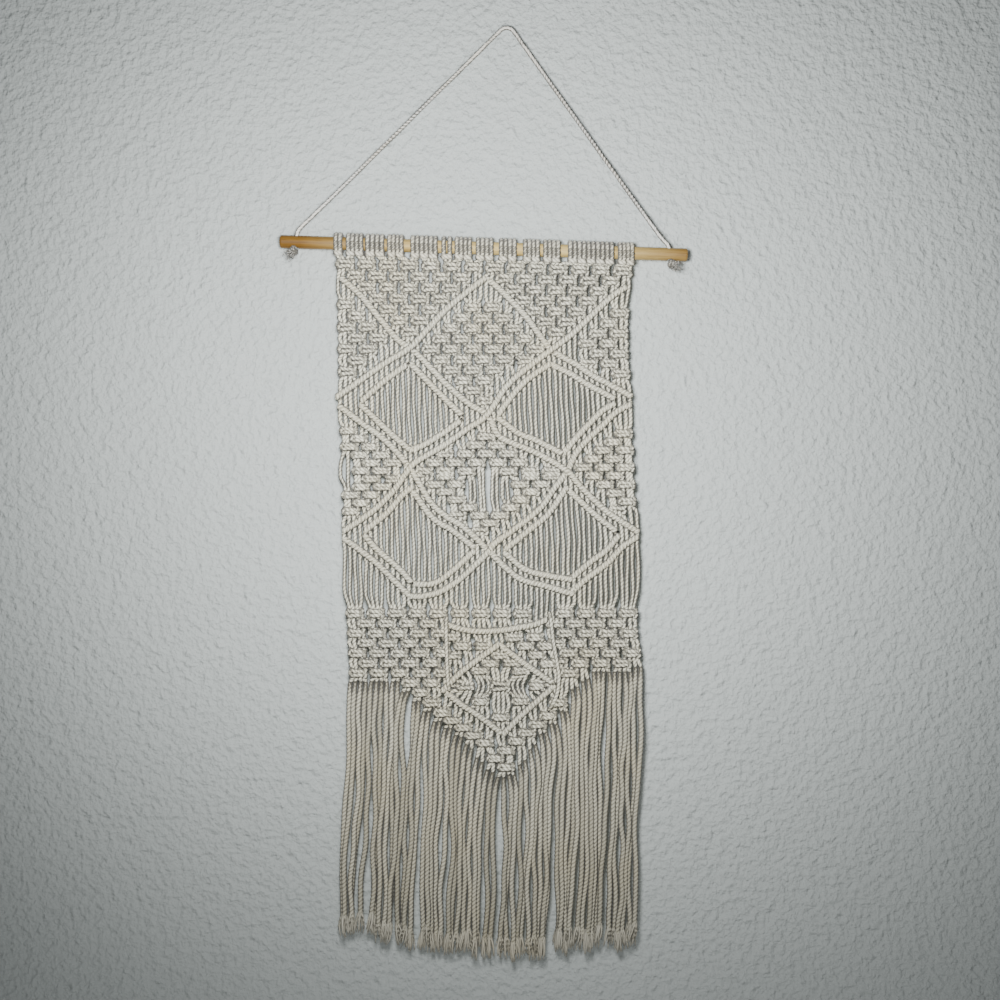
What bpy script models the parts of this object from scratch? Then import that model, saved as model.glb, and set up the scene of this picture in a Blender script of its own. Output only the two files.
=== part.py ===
"""Macrame wall hanging: cotton cord knotted on a wooden dowel, with its hanger cord.

The frame is the wall's: +X to the right, +Z up and +Y into the wall, with the origin where the
hanger cord rests on its pin. The tables hold millimetres, seen from the front: across to the
right of the pin, drop down from it, and out towards the viewer from the dowel's own plane.
LEAN turns them all, so that the free strands hang plumb. The knotted cloth itself leans a
little to the right on the way down, as it was tied.
"""
import math

import bmesh
import bpy
from mathutils import Matrix, Vector
from mathutils.geometry import delaunay_2d_cdt

MM = 0.001
GAP = 0.3                     # between pieces that touch
LEAN = math.radians(1.5)
DOWEL_OUT = 6.7               # the dowel's axis stands this far out from the pin's contact

STRANDS = 56                  # 28 cords, each folded over the dowel
STRAND_WIDTH = 4.3
STRAND_HALF = STRAND_WIDTH / 2
HEADING_ENDS = (-172.2, 126.3)

DOWEL_ENDS = ((-226.8, 213.5), (180.3, 227.0))
DOWEL_RADIUS = 6.35
DOWEL_SIDES = 32
HOLE_RADIUS = 3.2
HOLES_ACROSS = (-210.3, 162.3)

HANGER_WIDTH = 4.6
SMOOTH_STEPS = 12             # points read from each span of the cord's smooth route
# across, drop, out: up through the left hole, over the pin and down through the right hole.
HANGER_ROUTE = [
    (-210.6, 219.9, 0.0), (-210.4, 214.0, 0.0), (-210.2, 208.5, -0.1), (-209.2, 203.6, -0.2),
    (-206.0, 199.4, -0.3), (-194.0, 187.6, -0.7), (-170.0, 164.0, -1.5), (-140.0, 134.0, -2.4),
    (-105.0, 98.8, -3.6), (-70.0, 63.6, -4.8), (-40.0, 33.6, -5.8), (-20.0, 13.6, -6.4),
    (-6.8, 0.4, -6.7), (-3.8, -1.6, -6.7), (-0.4, -2.3, -6.7), (3.7, -1.3, -6.7),
    (6.9, 1.5, -6.7), (18.0, 17.4, -6.3), (36.0, 43.0, -5.5), (62.0, 80.0, -4.3),
    (90.0, 119.6, -3.1), (120.0, 162.0, -1.8), (145.0, 197.3, -0.7), (155.6, 211.6, -0.3),
    (160.4, 216.6, -0.1), (162.2, 221.4, 0.0), (162.3, 226.4, 0.0), (162.2, 232.2, 0.0),
]
# Each stopper knot: its middle, and the tip of its frayed free end.
STOPPERS = {
    "stopper_left": {"middle": (-212.5, 224.2, 3.6), "tip": (-219.5, 234.5, 4.5)},
    "stopper_right": {"middle": (164.0, 236.6, 3.6), "tip": (175.0, 242.5, 4.5)},
}
STOPPER_RADIUS = 3.8
STOPPER_SIDES = 12            # every second one drawn in, between the knot's turns
TUFT_SIDES = 10
TUFT_ROOT, TUFT_END = 1.6, 3.6

# Lark's heads on the dowel, in groups with bare wood between: from, to, number of heads.
HEAD_GROUPS = [
    (-172.2, -164.0, 1), (-160.0, -143.0, 2), (-141.0, -122.0, 2), (-119.0, -103.0, 2),
    (-96.0, -69.0, 3), (-66.0, -54.0, 1), (-52.0, -35.0, 2), (-31.0, -13.5, 2), (-8.0, 9.5, 2),
    (16.0, 32.5, 2), (36.0, 53.0, 2), (60.6, 106.5, 5), (110.5, 126.3, 2),
]
HEAD_STEPS = 8                # flats round the dowel
HEAD_INNER = (DOWEL_RADIUS + GAP) / math.cos(math.pi / HEAD_STEPS)
HEAD_OUTER = 9.6
HEAD_GROOVE = 8.4
BIGHT_DROP = 10.0             # the folded end, across the front below the dowel
BIGHT_OUT = 3.6
BIGHT_RADIUS = 2.0
HEADING_TOP = 8.0             # the row of strands under the dowel, measured from its axis
HEADING_FOOT = 12.3

# The knotted cloth: its side edges (drop, left, right), and its rows of square knots.
SIDES = [
    (229, -168.5, 124.5), (257, -168.5, 120.5), (300, -168.0, 119.5), (352, -167.5, 122.0),
    (392, -167.0, 125.5), (452, -164.5, 128.5), (512, -163.0, 131.5), (572, -162.0, 132.0),
    (592, -159.0, 128.5), (637, -157.5, 133.5), (760, -157.0, 134.0),
]
SIDE_CLEAR = 4.0
ROW_RUNS = [(31, 11.3), (17, 10.2)]   # number of rows, and their pitch
CLOTH_TOP = 12.6              # below the dowel's axis
TOP_SLOPE = 0.033             # the rows start parallel to the dowel and end level
LEVEL_DROP = 600.0
KNOT_OUT = 4.6                # half the thickness at a square knot, and at a gap between knots
KNOT_REACH = 4.6              # a knot is flat this far to both sides of its middle
KNOT_FROM_BAR = 6.0           # no knot's point is nearer to a bar, to a cut edge or to another
KNOT_FROM_RIM = 3.0
KNOT_FROM_SPOT = 4.0
GAP_OUT = 1.6
EDGE_OUT = STRAND_HALF

# The hem, a V between the cloth's sides, as (across, drop).
HEM = [
    (-157.4, 650), (-106, 651), (-77, 680), (-41, 714), (-18, 742), (-4, 751), (10, 740),
    (28, 714), (49, 684), (65, 662), (89, 643), (133.6, 639),
]

# Bars of hitches, as (across, drop) along their middles. They cross at five places.
CROSS_LEFT, CROSS_RIGHT, CROSS_CENTRE = (-97, 320), (44, 322), (-20, 387)
FORK_LEFT, FORK_RIGHT, LOW_CENTRE = (-97, 440), (60, 443), (-18, 523)
LEAVES = {
    "upper_left": {
        "outer_top": [(-165, 367), (-144, 351), (-121, 335), CROSS_LEFT, (-82, 334),
                      (-61, 356), (-38, 376), CROSS_CENTRE],
        "inner_top": [(-146, 374), (-121, 352), (-97, 335), (-74, 359), (-55, 378), (-44, 388)],
        "inner_foot": [(-146, 377), (-119, 403), (-97, 422), (-83, 417), (-62, 404), (-44, 391)],
        "outer_foot": [(-165, 379), (-144, 396), (-121, 413), FORK_LEFT, (-86, 431),
                       (-64, 418), (-41, 402), CROSS_CENTRE],
    },
    "upper_right": {
        "outer_top": [CROSS_CENTRE, (-4, 363), (9, 349), (27, 335), CROSS_RIGHT, (55, 329),
                      (71, 338), (84, 347), (101, 356), (121, 367)],
        "inner_top": [(-9, 387), (5, 368), (20, 352), (43, 336), (63, 346), (79, 356),
                      (96, 365), (109, 372)],
        "inner_foot": [(-9, 390), (11, 405), (26, 411), (40, 418), (56, 426),
                       (68, 411), (80, 398), (95, 383), (109, 375)],
        "outer_foot": [CROSS_CENTRE, (-9, 407), (5, 415), (20, 421), (35, 428), FORK_RIGHT,
                       (69, 425), (82, 410), (97, 396), (108, 385), (122, 376)],
    },
    "lower_left": {
        "outer_top": [(-160, 501), (-142, 489), (-127, 477), (-111, 460), FORK_LEFT,
                      (-77, 473), (-61, 488), (-42, 500), LOW_CENTRE],
        "inner_top": [(-142, 503), (-120, 485), (-105, 468), (-96, 460), (-75, 489),
                      (-55, 502), (-33, 519)],
        "inner_foot": [(-142, 507), (-131, 520), (-106, 542), (-94, 556), (-73, 555),
                       (-56, 544), (-33, 523)],
        "outer_foot": [(-160, 511), (-144, 524), (-127, 538), (-97, 568), (-85, 568),
                       (-68, 564), (-51, 554), (-35, 540), LOW_CENTRE],
    },
    "lower_right": {
        "outer_top": [LOW_CENTRE, (-12, 515), (6, 502), (23, 489), (36, 477), (46, 462),
                      FORK_RIGHT, (72, 457), (87, 472), (103, 486), (129, 502)],
        "inner_top": [(-2, 521), (6, 515), (22, 502), (41, 486), (59, 460), (71, 471),
                      (87, 486), (111, 505)],
        "inner_foot": [(-2, 525), (18, 541), (39, 547), (63, 551), (83, 534), (99, 522),
                       (111, 508)],
        "outer_foot": [LOW_CENTRE, (-3, 538), (14, 551), (36, 557), (63, 565), (80, 550),
                       (100, 535), (115, 519), (129, 509)],
    },
}
# Single bars: two crossed pairs under the heading, the arc, and the small diamond.
SINGLE_BARS = [
    [(-166, 250), (-146, 268), (-127, 291), (-109, 312), CROSS_LEFT],
    [(-21, 250), (-37, 262), (-60, 281), (-76, 298), CROSS_LEFT],
    [(-21, 250), (-5, 264), (18, 288), (32, 307), CROSS_RIGHT],
    [(119, 259), (102, 271), (80, 292), (63, 308), CROSS_RIGHT],
    [(-61, 598), (-44, 602), (-27, 603), (-7, 602), (13, 599), (28, 596), (42, 590)],
    [(-8, 616), (-29, 631), (-47, 645), (-63, 661), (-47, 675), (-27, 688), (-4, 706)],
    [(-8, 616), (13, 632), (33, 646), (49, 656), (33, 670), (13, 688), (-4, 706)],
]
BAR_HIGH = 5.4                # half the thickness along a bar, on and between its ridges
BAR_LOW = 4.3
BAR_STEP = 7.0                # from a ridge to the dip beside it
BAR_EDGE = 5.4                # from a bar's middle down to where the free strands leave it
TROUGH_REACH = 6.0            # the cloth is drawn in this far beside a bar's middle
TROUGH_STEP = 12.0
TROUGH_FROM_BAR = 5.0

# Free strands: in each leaf, in the middle, round the rosette and above the last band.
LEAF_CORNER = 8.0
LEAF_PITCH = 5.3
LEAF_BOW = 3.0                # the strands bow out to the side corners by this much
SMALL_WINDOWS = [
    {"top": [(-45, 458), (-39, 446), (-24, 437), (-17, 437), (-1, 444), (9, 460)],
     "foot": [(-45, 462), (-39, 472), (-24, 476), (-18, 478), (-3, 472), (9, 464)],
     "strands": [-40.0, -35.0, -30.0, -25.0, -15.4, -10.4, -5.4, -0.4, 4.6], "bow": 0.0},
    {"top": [(-29, 652), (-22, 645), (-13, 643)], "foot": [(-29, 664), (-22, 671), (-13, 673)],
     "strands": [-23.6, -18.2], "bow": 1.5},
    {"top": [(-2, 643), (7, 645), (14, 652)], "foot": [(-2, 673), (7, 671), (14, 664)],
     "strands": [3.2, 8.6], "bow": 1.5},
]
CORNER_REACH = 1.5            # a window runs on this far past its outermost strands
END_STEP = 0.05               # a strand's two corners are set off its bar's edge by a hair
ROSETTE_KNOT = [(-10.5, 658.0, 5.4), (-4.5, 658.0, 5.4)]
BAND_TOP = [(-175, 584), (-61, 588), (-44, 585), (44, 583), (150, 581)]
UPPER_LEVEL, BAND_LEVEL = 545.0, 590.0

# Gaps cut through between the knots: one at the side of the middle, and along the first row.
SIDE_GAP = {"middle": (47.0, 449.0), "half": (2.7, 6.0)}
ROW_GAP_HALF = (2.6, 4.6)

# Where the fringe ends, and its backing strip under the hem.
FRINGE_ENDS = [
    (-169, 910), (-137, 908), (-107, 916), (-77, 921), (-47, 926), (-17, 928), (13, 932),
    (43, 930), (73, 920), (98, 921), (127, 918),
]
FRINGE_FLARE = 3.0            # the left edge spreads by this much, the right edge not at all
RAGGED = 1.5                  # the ends are this uneven, each RAGGED_TURN on from the last
RAGGED_TURN = 2.4
FRINGE_KNEE = 0.55            # halfway down a strand has come this share of the way to plumb
BACKING_TOP = 0.6             # below the hem, which keeps the steepest part 0.3 clear
BACKING_FOOT = 5.4
CUTTER_REACH = 30.0


# ---------------------------------------------------------------- places
def hung(across, drop, out=0.0):
    """A place on the hanging, in metres."""
    x = across * math.cos(LEAN) + drop * math.sin(LEAN)
    z = across * math.sin(LEAN) - drop * math.cos(LEAN)
    return Vector((x, -(DOWEL_OUT + out), z)) * MM


def along(line, across):
    """The drop of a line of (across, drop) points at one place across."""
    if across <= line[0][0]:
        return line[0][1]
    for (a0, d0), (a1, d1) in zip(line, line[1:]):
        if across <= a1:
            return d0 + (d1 - d0) * (across - a0) / (a1 - a0)
    return line[-1][1]


def sides_at(drop):
    left = along([(d, a) for d, a, _ in SIDES], drop)
    right = along([(d, a) for d, _, a in SIDES], drop)
    return left, right


def strand_across(strand, drop):
    """Across of a strand's middle, counted from the left edge, where STRANDS is the right."""
    left, right = sides_at(drop)
    return left + (right - left) * strand / STRANDS


def dowel_drop(across):
    (a0, d0), (a1, d1) = DOWEL_ENDS
    return d0 + (d1 - d0) * (across - a0) / (a1 - a0)


def row_drop(row, across):
    """The drop of a row of knots; row 0 is the cloth's top edge."""
    top = dowel_drop(across) + CLOTH_TOP
    down = 0.0
    left = row - 0.5 if row else 0.0
    for count, pitch in ROW_RUNS:
        down += min(left, count) * pitch
        left = max(left - count, 0.0)
    level = min(down / (LEVEL_DROP - top), 1.0)
    return top + down - TOP_SLOPE * across * level


def knot_place(strand, row):
    across = strand_across(strand, row_drop(row, 0.0))
    return across, row_drop(row, across)


def resampled(line, step):
    """Points about a step apart along a line, with its bends kept in place."""
    points = []
    for start, end in zip(line, line[1:]):
        run = math.dist(start, end)
        parts = max(1, round(run / step))
        points += [tuple(s + (e - s) * i / parts for s, e in zip(start, end)) for i in range(parts)]
    return points + [line[-1]]


def smooth(route, per_span):
    """Points on the Catmull-Rom curve through a route, evenly shared along it."""
    points = [Vector(p) for p in route]
    ends = [2 * points[0] - points[1], 2 * points[-1] - points[-2]]
    path = [ends[0]] + points + [ends[1]]
    fine = []
    for i in range(1, len(path) - 2):
        before, start, end, after = path[i - 1:i + 3]
        for k in range(per_span):
            t = k / per_span
            fine.append(0.5 * (2 * start + (end - before) * t
                               + (2 * before - 5 * start + 4 * end - after) * t ** 2
                               + (3 * start - before - 3 * end + after) * t ** 3))
    return fine + [points[-1]]


def evenly(points, step):
    """Every point of a fine path that is a step on from the last one kept, and the end."""
    kept = [points[0]]
    for point in points[1:]:
        if (point - kept[-1]).length >= step:
            kept.append(point)
    kept[-1] = points[-1]
    return kept


# ---------------------------------------------------------------- making
def material(name, colour, roughness):
    made = bpy.data.materials.new(name)
    made.use_nodes = True
    shader = made.node_tree.nodes["Principled BSDF"]
    shader.inputs["Base Color"].default_value = (*colour, 1.0)
    shader.inputs["Roughness"].default_value = roughness
    shader.inputs["Metallic"].default_value = 0.0
    return made


def from_bmesh(name, bm):
    mesh = bpy.data.meshes.new(name)
    bmesh.ops.recalc_face_normals(bm, faces=bm.faces[:])
    bm.to_mesh(mesh)
    bm.free()
    made = bpy.data.objects.new(name, mesh)
    WORK.objects.link(made)
    return made


def baked(source, name):
    """The source as the viewport shows it, made a plain mesh, with its loose caps welded."""
    bpy.context.view_layer.update()
    seen = source.evaluated_get(bpy.context.evaluated_depsgraph_get())
    mesh = bpy.data.meshes.new_from_object(seen)
    bm = bmesh.new()
    bm.from_mesh(mesh)
    bmesh.ops.remove_doubles(bm, verts=bm.verts[:], dist=0.00001)
    bmesh.ops.recalc_face_normals(bm, faces=bm.faces[:])
    bm.to_mesh(mesh)
    bm.free()
    place = source.matrix_world.copy()
    bpy.data.objects.remove(source)
    made = bpy.data.objects.new(name, mesh)
    made.matrix_world = place
    WORK.objects.link(made)
    return made


def tube(name, points, radius, resolution=0):
    """A cord through points in metres; resolution 0 gives it four sides."""
    curve = bpy.data.curves.new(name, "CURVE")
    curve.dimensions = "3D"
    curve.bevel_depth = radius * MM
    curve.bevel_resolution = resolution
    curve.use_fill_caps = True
    curve.twist_mode = "MINIMUM"
    spline = curve.splines.new("POLY")
    spline.points.add(len(points) - 1)
    for point, place in zip(spline.points, points):
        point.co = (*place, 1.0)
    made = bpy.data.objects.new(name, curve)
    WORK.objects.link(made)
    return baked(made, name)


def plate(name, outline, half):
    """A flat piece of cloth, or a cutter, from an outline of (across, drop)."""
    curve = bpy.data.curves.new(name, "CURVE")
    curve.dimensions = "2D"
    curve.fill_mode = "BOTH"
    curve.extrude = half * MM
    spline = curve.splines.new("POLY")
    spline.points.add(len(outline) - 1)
    spline.use_cyclic_u = True
    for point, (across, drop) in zip(spline.points, outline):
        place = hung(across, drop)
        point.co = (place.x, place.z, 0.0, 1.0)
    made = bpy.data.objects.new(name, curve)
    made.location = (0.0, -DOWEL_OUT * MM, 0.0)
    made.rotation_euler = (math.radians(90), 0.0, 0.0)
    WORK.objects.link(made)
    return baked(made, name)


def combined(name, base, operation, others):
    """The base joined with, or cut by, all the others at once."""
    group = bpy.data.collections.new(name + "_" + operation.lower())
    CUTTERS.children.link(group)
    for other in others:
        WORK.objects.unlink(other)
        group.objects.link(other)
    change = base.modifiers.new(operation.lower(), "BOOLEAN")
    change.operation = operation
    change.operand_type = "COLLECTION"
    change.collection = group
    change.solver = "EXACT"
    made = baked(base, name)
    for other in others:
        bpy.data.objects.remove(other)
    return made


def finished(made, finish, round_piece=True):
    """Hands a piece over to the hanging's own collection, with its material."""
    made.data.materials.clear()
    made.data.materials.append(finish)
    if round_piece:
        made.data.shade_smooth()
        made.data.set_sharp_from_angle(angle=math.radians(50))
    WORK.objects.unlink(made)
    HANGING.objects.link(made)


# ---------------------------------------------------------------- dowel and hanger
def dowel_frame(across):
    """Turns a piece so that its X runs along the dowel, with its origin on the axis."""
    run = hung(*DOWEL_ENDS[1]) - hung(*DOWEL_ENDS[0])
    tilt = math.atan2(run.z, run.x)
    place = hung(across, dowel_drop(across))
    return Matrix.Translation(place) @ Matrix.Rotation(-tilt, 4, "Y")


def dowel():
    (left, _), (right, _) = DOWEL_ENDS
    length = math.dist(*DOWEL_ENDS) * MM
    bm = bmesh.new()
    bmesh.ops.create_cone(bm, cap_ends=True, segments=DOWEL_SIDES, depth=length,
                          radius1=DOWEL_RADIUS * MM, radius2=DOWEL_RADIUS * MM)
    rims = [edge for edge in bm.edges if len({v.co.z > 0 for v in edge.verts}) == 1]
    bmesh.ops.bevel(bm, geom=rims, offset=1.6 * MM, offset_type="OFFSET", segments=2,
                    profile=0.5, affect="EDGES", material=-1)
    lay_down = Matrix.Rotation(math.radians(90), 4, "Y")
    bmesh.ops.transform(bm, matrix=dowel_frame((left + right) / 2) @ lay_down, verts=bm.verts[:])
    rod = from_bmesh("dowel", bm)
    drills = []
    for across in HOLES_ACROSS:
        bm = bmesh.new()
        bmesh.ops.create_cone(bm, cap_ends=True, segments=16, depth=CUTTER_REACH * MM,
                              radius1=HOLE_RADIUS * MM, radius2=HOLE_RADIUS * MM)
        bmesh.ops.transform(bm, matrix=dowel_frame(across), verts=bm.verts[:])
        drills.append(from_bmesh("drill", bm))
    return combined("dowel", rod, "DIFFERENCE", drills)


def hanger_cord():
    places = [hung(*point) for point in HANGER_ROUTE]
    path = evenly(smooth(places, SMOOTH_STEPS), 2.0 * HANGER_WIDTH * MM)
    return tube("hanger_cord", path, HANGER_WIDTH / 2, resolution=2)


def stopper(name):
    """A knot drawn tight, ridged by its turns, and the frayed end that comes out of it."""
    middle = hung(*STOPPERS[name]["middle"])
    tip = hung(*STOPPERS[name]["tip"])
    bm = bmesh.new()
    bmesh.ops.create_uvsphere(bm, u_segments=STOPPER_SIDES, v_segments=7,
                              radius=STOPPER_RADIUS * MM)
    for vert in bm.verts:
        turn = math.atan2(vert.co.y, vert.co.x)
        vert.co *= 1.0 - 0.14 * (round(turn * STOPPER_SIDES / math.tau) % 2)
    lay = (tip - middle).to_track_quat("Z", "Y").to_matrix().to_4x4()
    bmesh.ops.transform(bm, matrix=Matrix.Translation(middle) @ lay, verts=bm.verts[:])
    knot = from_bmesh(name, bm)
    length = (tip - middle).length
    bm = bmesh.new()
    bmesh.ops.create_cone(bm, cap_ends=True, segments=TUFT_SIDES, depth=length,
                          radius1=TUFT_ROOT * MM, radius2=TUFT_END * MM)
    for vert in bm.verts:
        if vert.co.z > 0:
            turn = math.atan2(vert.co.y, vert.co.x)
            vert.co.xy *= 1.0 - 0.3 * (round(turn * TUFT_SIDES / math.tau) % 2)
    bmesh.ops.transform(bm, matrix=Matrix.Translation((middle + tip) / 2) @ lay,
                        verts=bm.verts[:])
    return combined(name, knot, "UNION", [from_bmesh("brush", bm)])


# ---------------------------------------------------------------- heading
def head_turns(start, end, heads):
    """A group of lark's heads: two turns of cord each round the dowel, side by side."""
    turns = 2 * heads
    half = (end - start) / 2
    width = 2 * half / turns
    section = [(-half, HEAD_INNER), (half, HEAD_INNER)]
    for turn in reversed(range(turns)):
        section.append((-half + width * (turn + 0.5), HEAD_OUTER))
        if turn:
            section.append((-half + width * turn, HEAD_GROOVE))
    bm = bmesh.new()
    verts = [bm.verts.new((x * MM, 0.0, z * MM)) for x, z in section]
    edges = [bm.edges.new(pair) for pair in zip(verts, verts[1:] + verts[:1])]
    bmesh.ops.spin(bm, geom=verts + edges, cent=(0, 0, 0), axis=(1, 0, 0), use_merge=True,
                   angle=math.tau, steps=HEAD_STEPS)
    bmesh.ops.transform(bm, matrix=dowel_frame((start + end) / 2), verts=bm.verts[:])
    return from_bmesh("turns", bm)


def bight(across, width):
    """The fold of the cord, lying across the front of its own strands."""
    drop = dowel_drop(across) + BIGHT_DROP
    ends = [hung(across + side * width / 2, drop, BIGHT_OUT) for side in (-1, 1)]
    return tube("bight", ends, BIGHT_RADIUS)


def heading():
    left, right = HEADING_ENDS
    band = [(a, dowel_drop(a) + HEADING_TOP) for a in (left, right)]
    band += [(a, dowel_drop(a) + HEADING_FOOT) for a in (right, left)]
    row = plate("row", band, STRAND_HALF)
    pieces = []
    for start, end, heads in HEAD_GROUPS:
        pieces.append(head_turns(start, end, heads))
        pitch = (end - start) / heads
        pieces += [bight(start + pitch * (head + 0.5), pitch - GAP) for head in range(heads)]
    return combined("heading", row, "UNION", pieces)


# ---------------------------------------------------------------- cloth with relief
def inside(outline, place):
    """Whether a place lies within a closed outline."""
    across, drop = place
    odd = False
    for (a0, d0), (a1, d1) in zip(outline, outline[1:] + outline[:1]):
        if (d0 > drop) != (d1 > drop) and across < a0 + (a1 - a0) * (drop - d0) / (d1 - d0):
            odd = not odd
    return odd


def distance(place, line):
    """How near a line of (across, drop) points passes."""
    spot = Vector(place[:2])
    nearest = math.inf
    for start, end in zip(line, line[1:]):
        start, run = Vector(start[:2]), Vector(end[:2]) - Vector(start[:2])
        share = min(max((spot - start).dot(run) / run.length_squared, 0.0), 1.0)
        nearest = min(nearest, (spot - start - run * share).length)
    return nearest


def closed(outline):
    return outline + outline[:1]


def relief_sheet(outers, holes, ridges, spots):
    """A cloth within its outlines, less its holes, the same on its front and its back.

    Ridges and spots are (across, drop, out): the cloth rises to them from its EDGE_OUT edges.
    Returns its bmesh and its front vertices by their place.
    """
    points, edges = [], []
    for outline in outers + holes:
        first = len(points)
        points += [(a, d, EDGE_OUT) for a, d in outline]
        edges += [(first + i, first + (i + 1) % len(outline)) for i in range(len(outline))]
    for ridge in ridges:
        first = len(points)
        points += ridge
        edges += [(first + i, first + i + 1) for i in range(len(ridge) - 1)]
    points += spots
    flat = [Vector((a, d)) for a, d, _ in points]
    places, _, faces, sources, _, _ = delaunay_2d_cdt(flat, edges, [], 0, 0.001)
    bm = bmesh.new()
    front = {}
    verts = []
    for place, source in zip(places, sources):
        out = max(points[i][2] for i in source) if source else GAP_OUT
        vert = bm.verts.new(hung(place.x, place.y, out))
        verts.append(vert)
        for i in source:
            front[points[i][:2]] = vert
    for face in faces:
        middle = sum((places[i] for i in face), Vector((0, 0))) / len(face)
        if any(inside(o, middle) for o in outers) and not any(inside(h, middle) for h in holes):
            bm.faces.new([verts[i] for i in face])
    bmesh.ops.delete(bm, geom=[v for v in bm.verts if not v.link_faces], context="VERTS")
    back = bmesh.ops.extrude_face_region(bm, geom=bm.faces[:])
    for vert in back["geom"]:
        if isinstance(vert, bmesh.types.BMVert):
            vert.co.y = -2 * DOWEL_OUT * MM - vert.co.y
    return bm, front


def wall(front, ends):
    """The face in the cloth's thickness between two neighbouring points of an outline."""
    one, other = (front[end] for end in ends)
    return next(f for f in one.link_faces if other in f.verts and len(f.verts) == 4)


def drawn_out(bm, face, across, drop):
    """A strand's next stretch: its end face is drawn out of the last one, to a level place."""
    middle = face.calc_center_median()
    end = bmesh.ops.extrude_discrete_faces(bm, faces=[face])["faces"][0]
    for vert in end.verts:
        side = math.copysign(STRAND_HALF, vert.co.x - middle.x)
        out = math.copysign(STRAND_HALF, middle.y - vert.co.y)
        vert.co = hung(across + side, drop, out)
    return end


def joined(bm, top, foot):
    edges = top.edges[:] + foot.edges[:]
    bmesh.ops.delete(bm, geom=[top, foot], context="FACES_ONLY")
    bmesh.ops.bridge_loops(bm, edges=edges)


def strand_ends(line, across):
    """A strand's width on a line, as two points of an outline, no three of them in line."""
    left, right = across - STRAND_HALF, across + STRAND_HALF
    return [(left, along(line, left) - END_STEP), (right, along(line, right) + END_STEP)]


# ---------------------------------------------------------------- knotted panel
def moved(line, down):
    return [(a, d + down) for a, d in line]


def windows():
    """Each opening that free strands cross: its top and foot lines, its strands, their bow."""
    made = []
    for leaf in LEAVES.values():
        left = leaf["inner_top"][0][0] + LEAF_CORNER
        right = leaf["inner_top"][-1][0] - LEAF_CORNER
        strands = int((right - left) / LEAF_PITCH)
        pitch = (right - left) / strands
        made.append({"top": moved(leaf["inner_top"], BAR_EDGE),
                     "foot": moved(leaf["inner_foot"], -BAR_EDGE),
                     "strands": [left + pitch * (i + 0.5) for i in range(strands)],
                     "bow": LEAF_BOW})
    return made + SMALL_WINDOWS


def window_outline(window):
    """Round a window, with the two points of each strand's end along its top and its foot."""
    top = [p for a in window["strands"] for p in strand_ends(window["top"], a)]
    foot = [p for a in window["strands"] for p in strand_ends(window["foot"], a)]
    corners = []
    for end, reach in ((0, -CORNER_REACH), (-1, CORNER_REACH)):
        corners.append((top[end][0] + reach, (top[end][1] + foot[end][1]) / 2))
    return corners[:1] + top + corners[1:] + foot[::-1]


def lower_line():
    """Where the free strands leave the lower leaves' outer bars."""
    left, right = LEAVES["lower_left"]["outer_foot"], LEAVES["lower_right"]["outer_foot"]
    return moved(left + right[1:], BAR_EDGE)


def lower_strands():
    """Across of each strand where it leaves the leaves, and where it enters the last band."""
    for strand in range(STRANDS):
        yield (strand_across(strand + 0.5, UPPER_LEVEL), strand_across(strand + 0.5, BAND_LEVEL))


def side_points(low, high, side):
    """The cloth's side between two drops; side is 1 for the left and 2 for the right."""
    return [(row[side], row[0]) for row in SIDES if low + SIDE_CLEAR < row[0] < high - SIDE_CLEAR]


def cloth_outlines():
    """The cloth above the free strands, and the band below them down to the hem."""
    top = [(a, dowel_drop(a) + CLOTH_TOP) for a in HEADING_ENDS]
    foot = [p for a, _ in lower_strands() for p in strand_ends(lower_line(), a)]
    left = side_points(top[0][1], foot[0][1], 1)
    right = side_points(top[1][1], foot[-1][1], 2)
    upper = top + right + foot[::-1] + left[::-1]
    head = [p for _, a in lower_strands() for p in strand_ends(BAND_TOP, a)]
    left = side_points(head[0][1], HEM[0][1], 1)
    right = side_points(head[-1][1], HEM[-1][1], 2)
    return upper, head + right + HEM[::-1] + left[::-1]


def bar_lines():
    return [line for leaf in LEAVES.values() for line in leaf.values()] + SINGLE_BARS


def bar_ridge(line):
    """A bar's middle, raised and dipped by turns along its hitches."""
    places = resampled(line, BAR_STEP)
    return [(a, d, BAR_LOW if i % 2 else BAR_HIGH) for i, (a, d) in enumerate(places)]


def troughs():
    """Where the cloth dips on both sides of every bar."""
    for line in bar_lines():
        places = resampled(line, TROUGH_STEP)
        for start, end in zip(places, places[1:]):
            run = (Vector(end) - Vector(start)).normalized()
            middle = (Vector(start) + Vector(end)) / 2
            for side in (-TROUGH_REACH, TROUGH_REACH):
                yield (middle.x - run.y * side, middle.y + run.x * side, GAP_OUT)


def knots_and_gaps():
    """The lattice of square knots: every second place holds a knot, the others a gap."""
    for row in range(1, sum(count for count, _ in ROW_RUNS)):
        for column in range(1, STRANDS // 2):
            across, drop = knot_place(2 * column, row)
            if (column + row) % 2:
                yield (across, drop, GAP_OUT)
            else:
                yield (across - KNOT_REACH, drop, KNOT_OUT)
                yield (across + KNOT_REACH, drop, KNOT_OUT)


def diamond(middle, half):
    (across, drop), (wide, tall) = middle, half
    return [(across, drop - tall), (across + wide, drop), (across, drop + tall),
            (across - wide, drop)]


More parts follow.
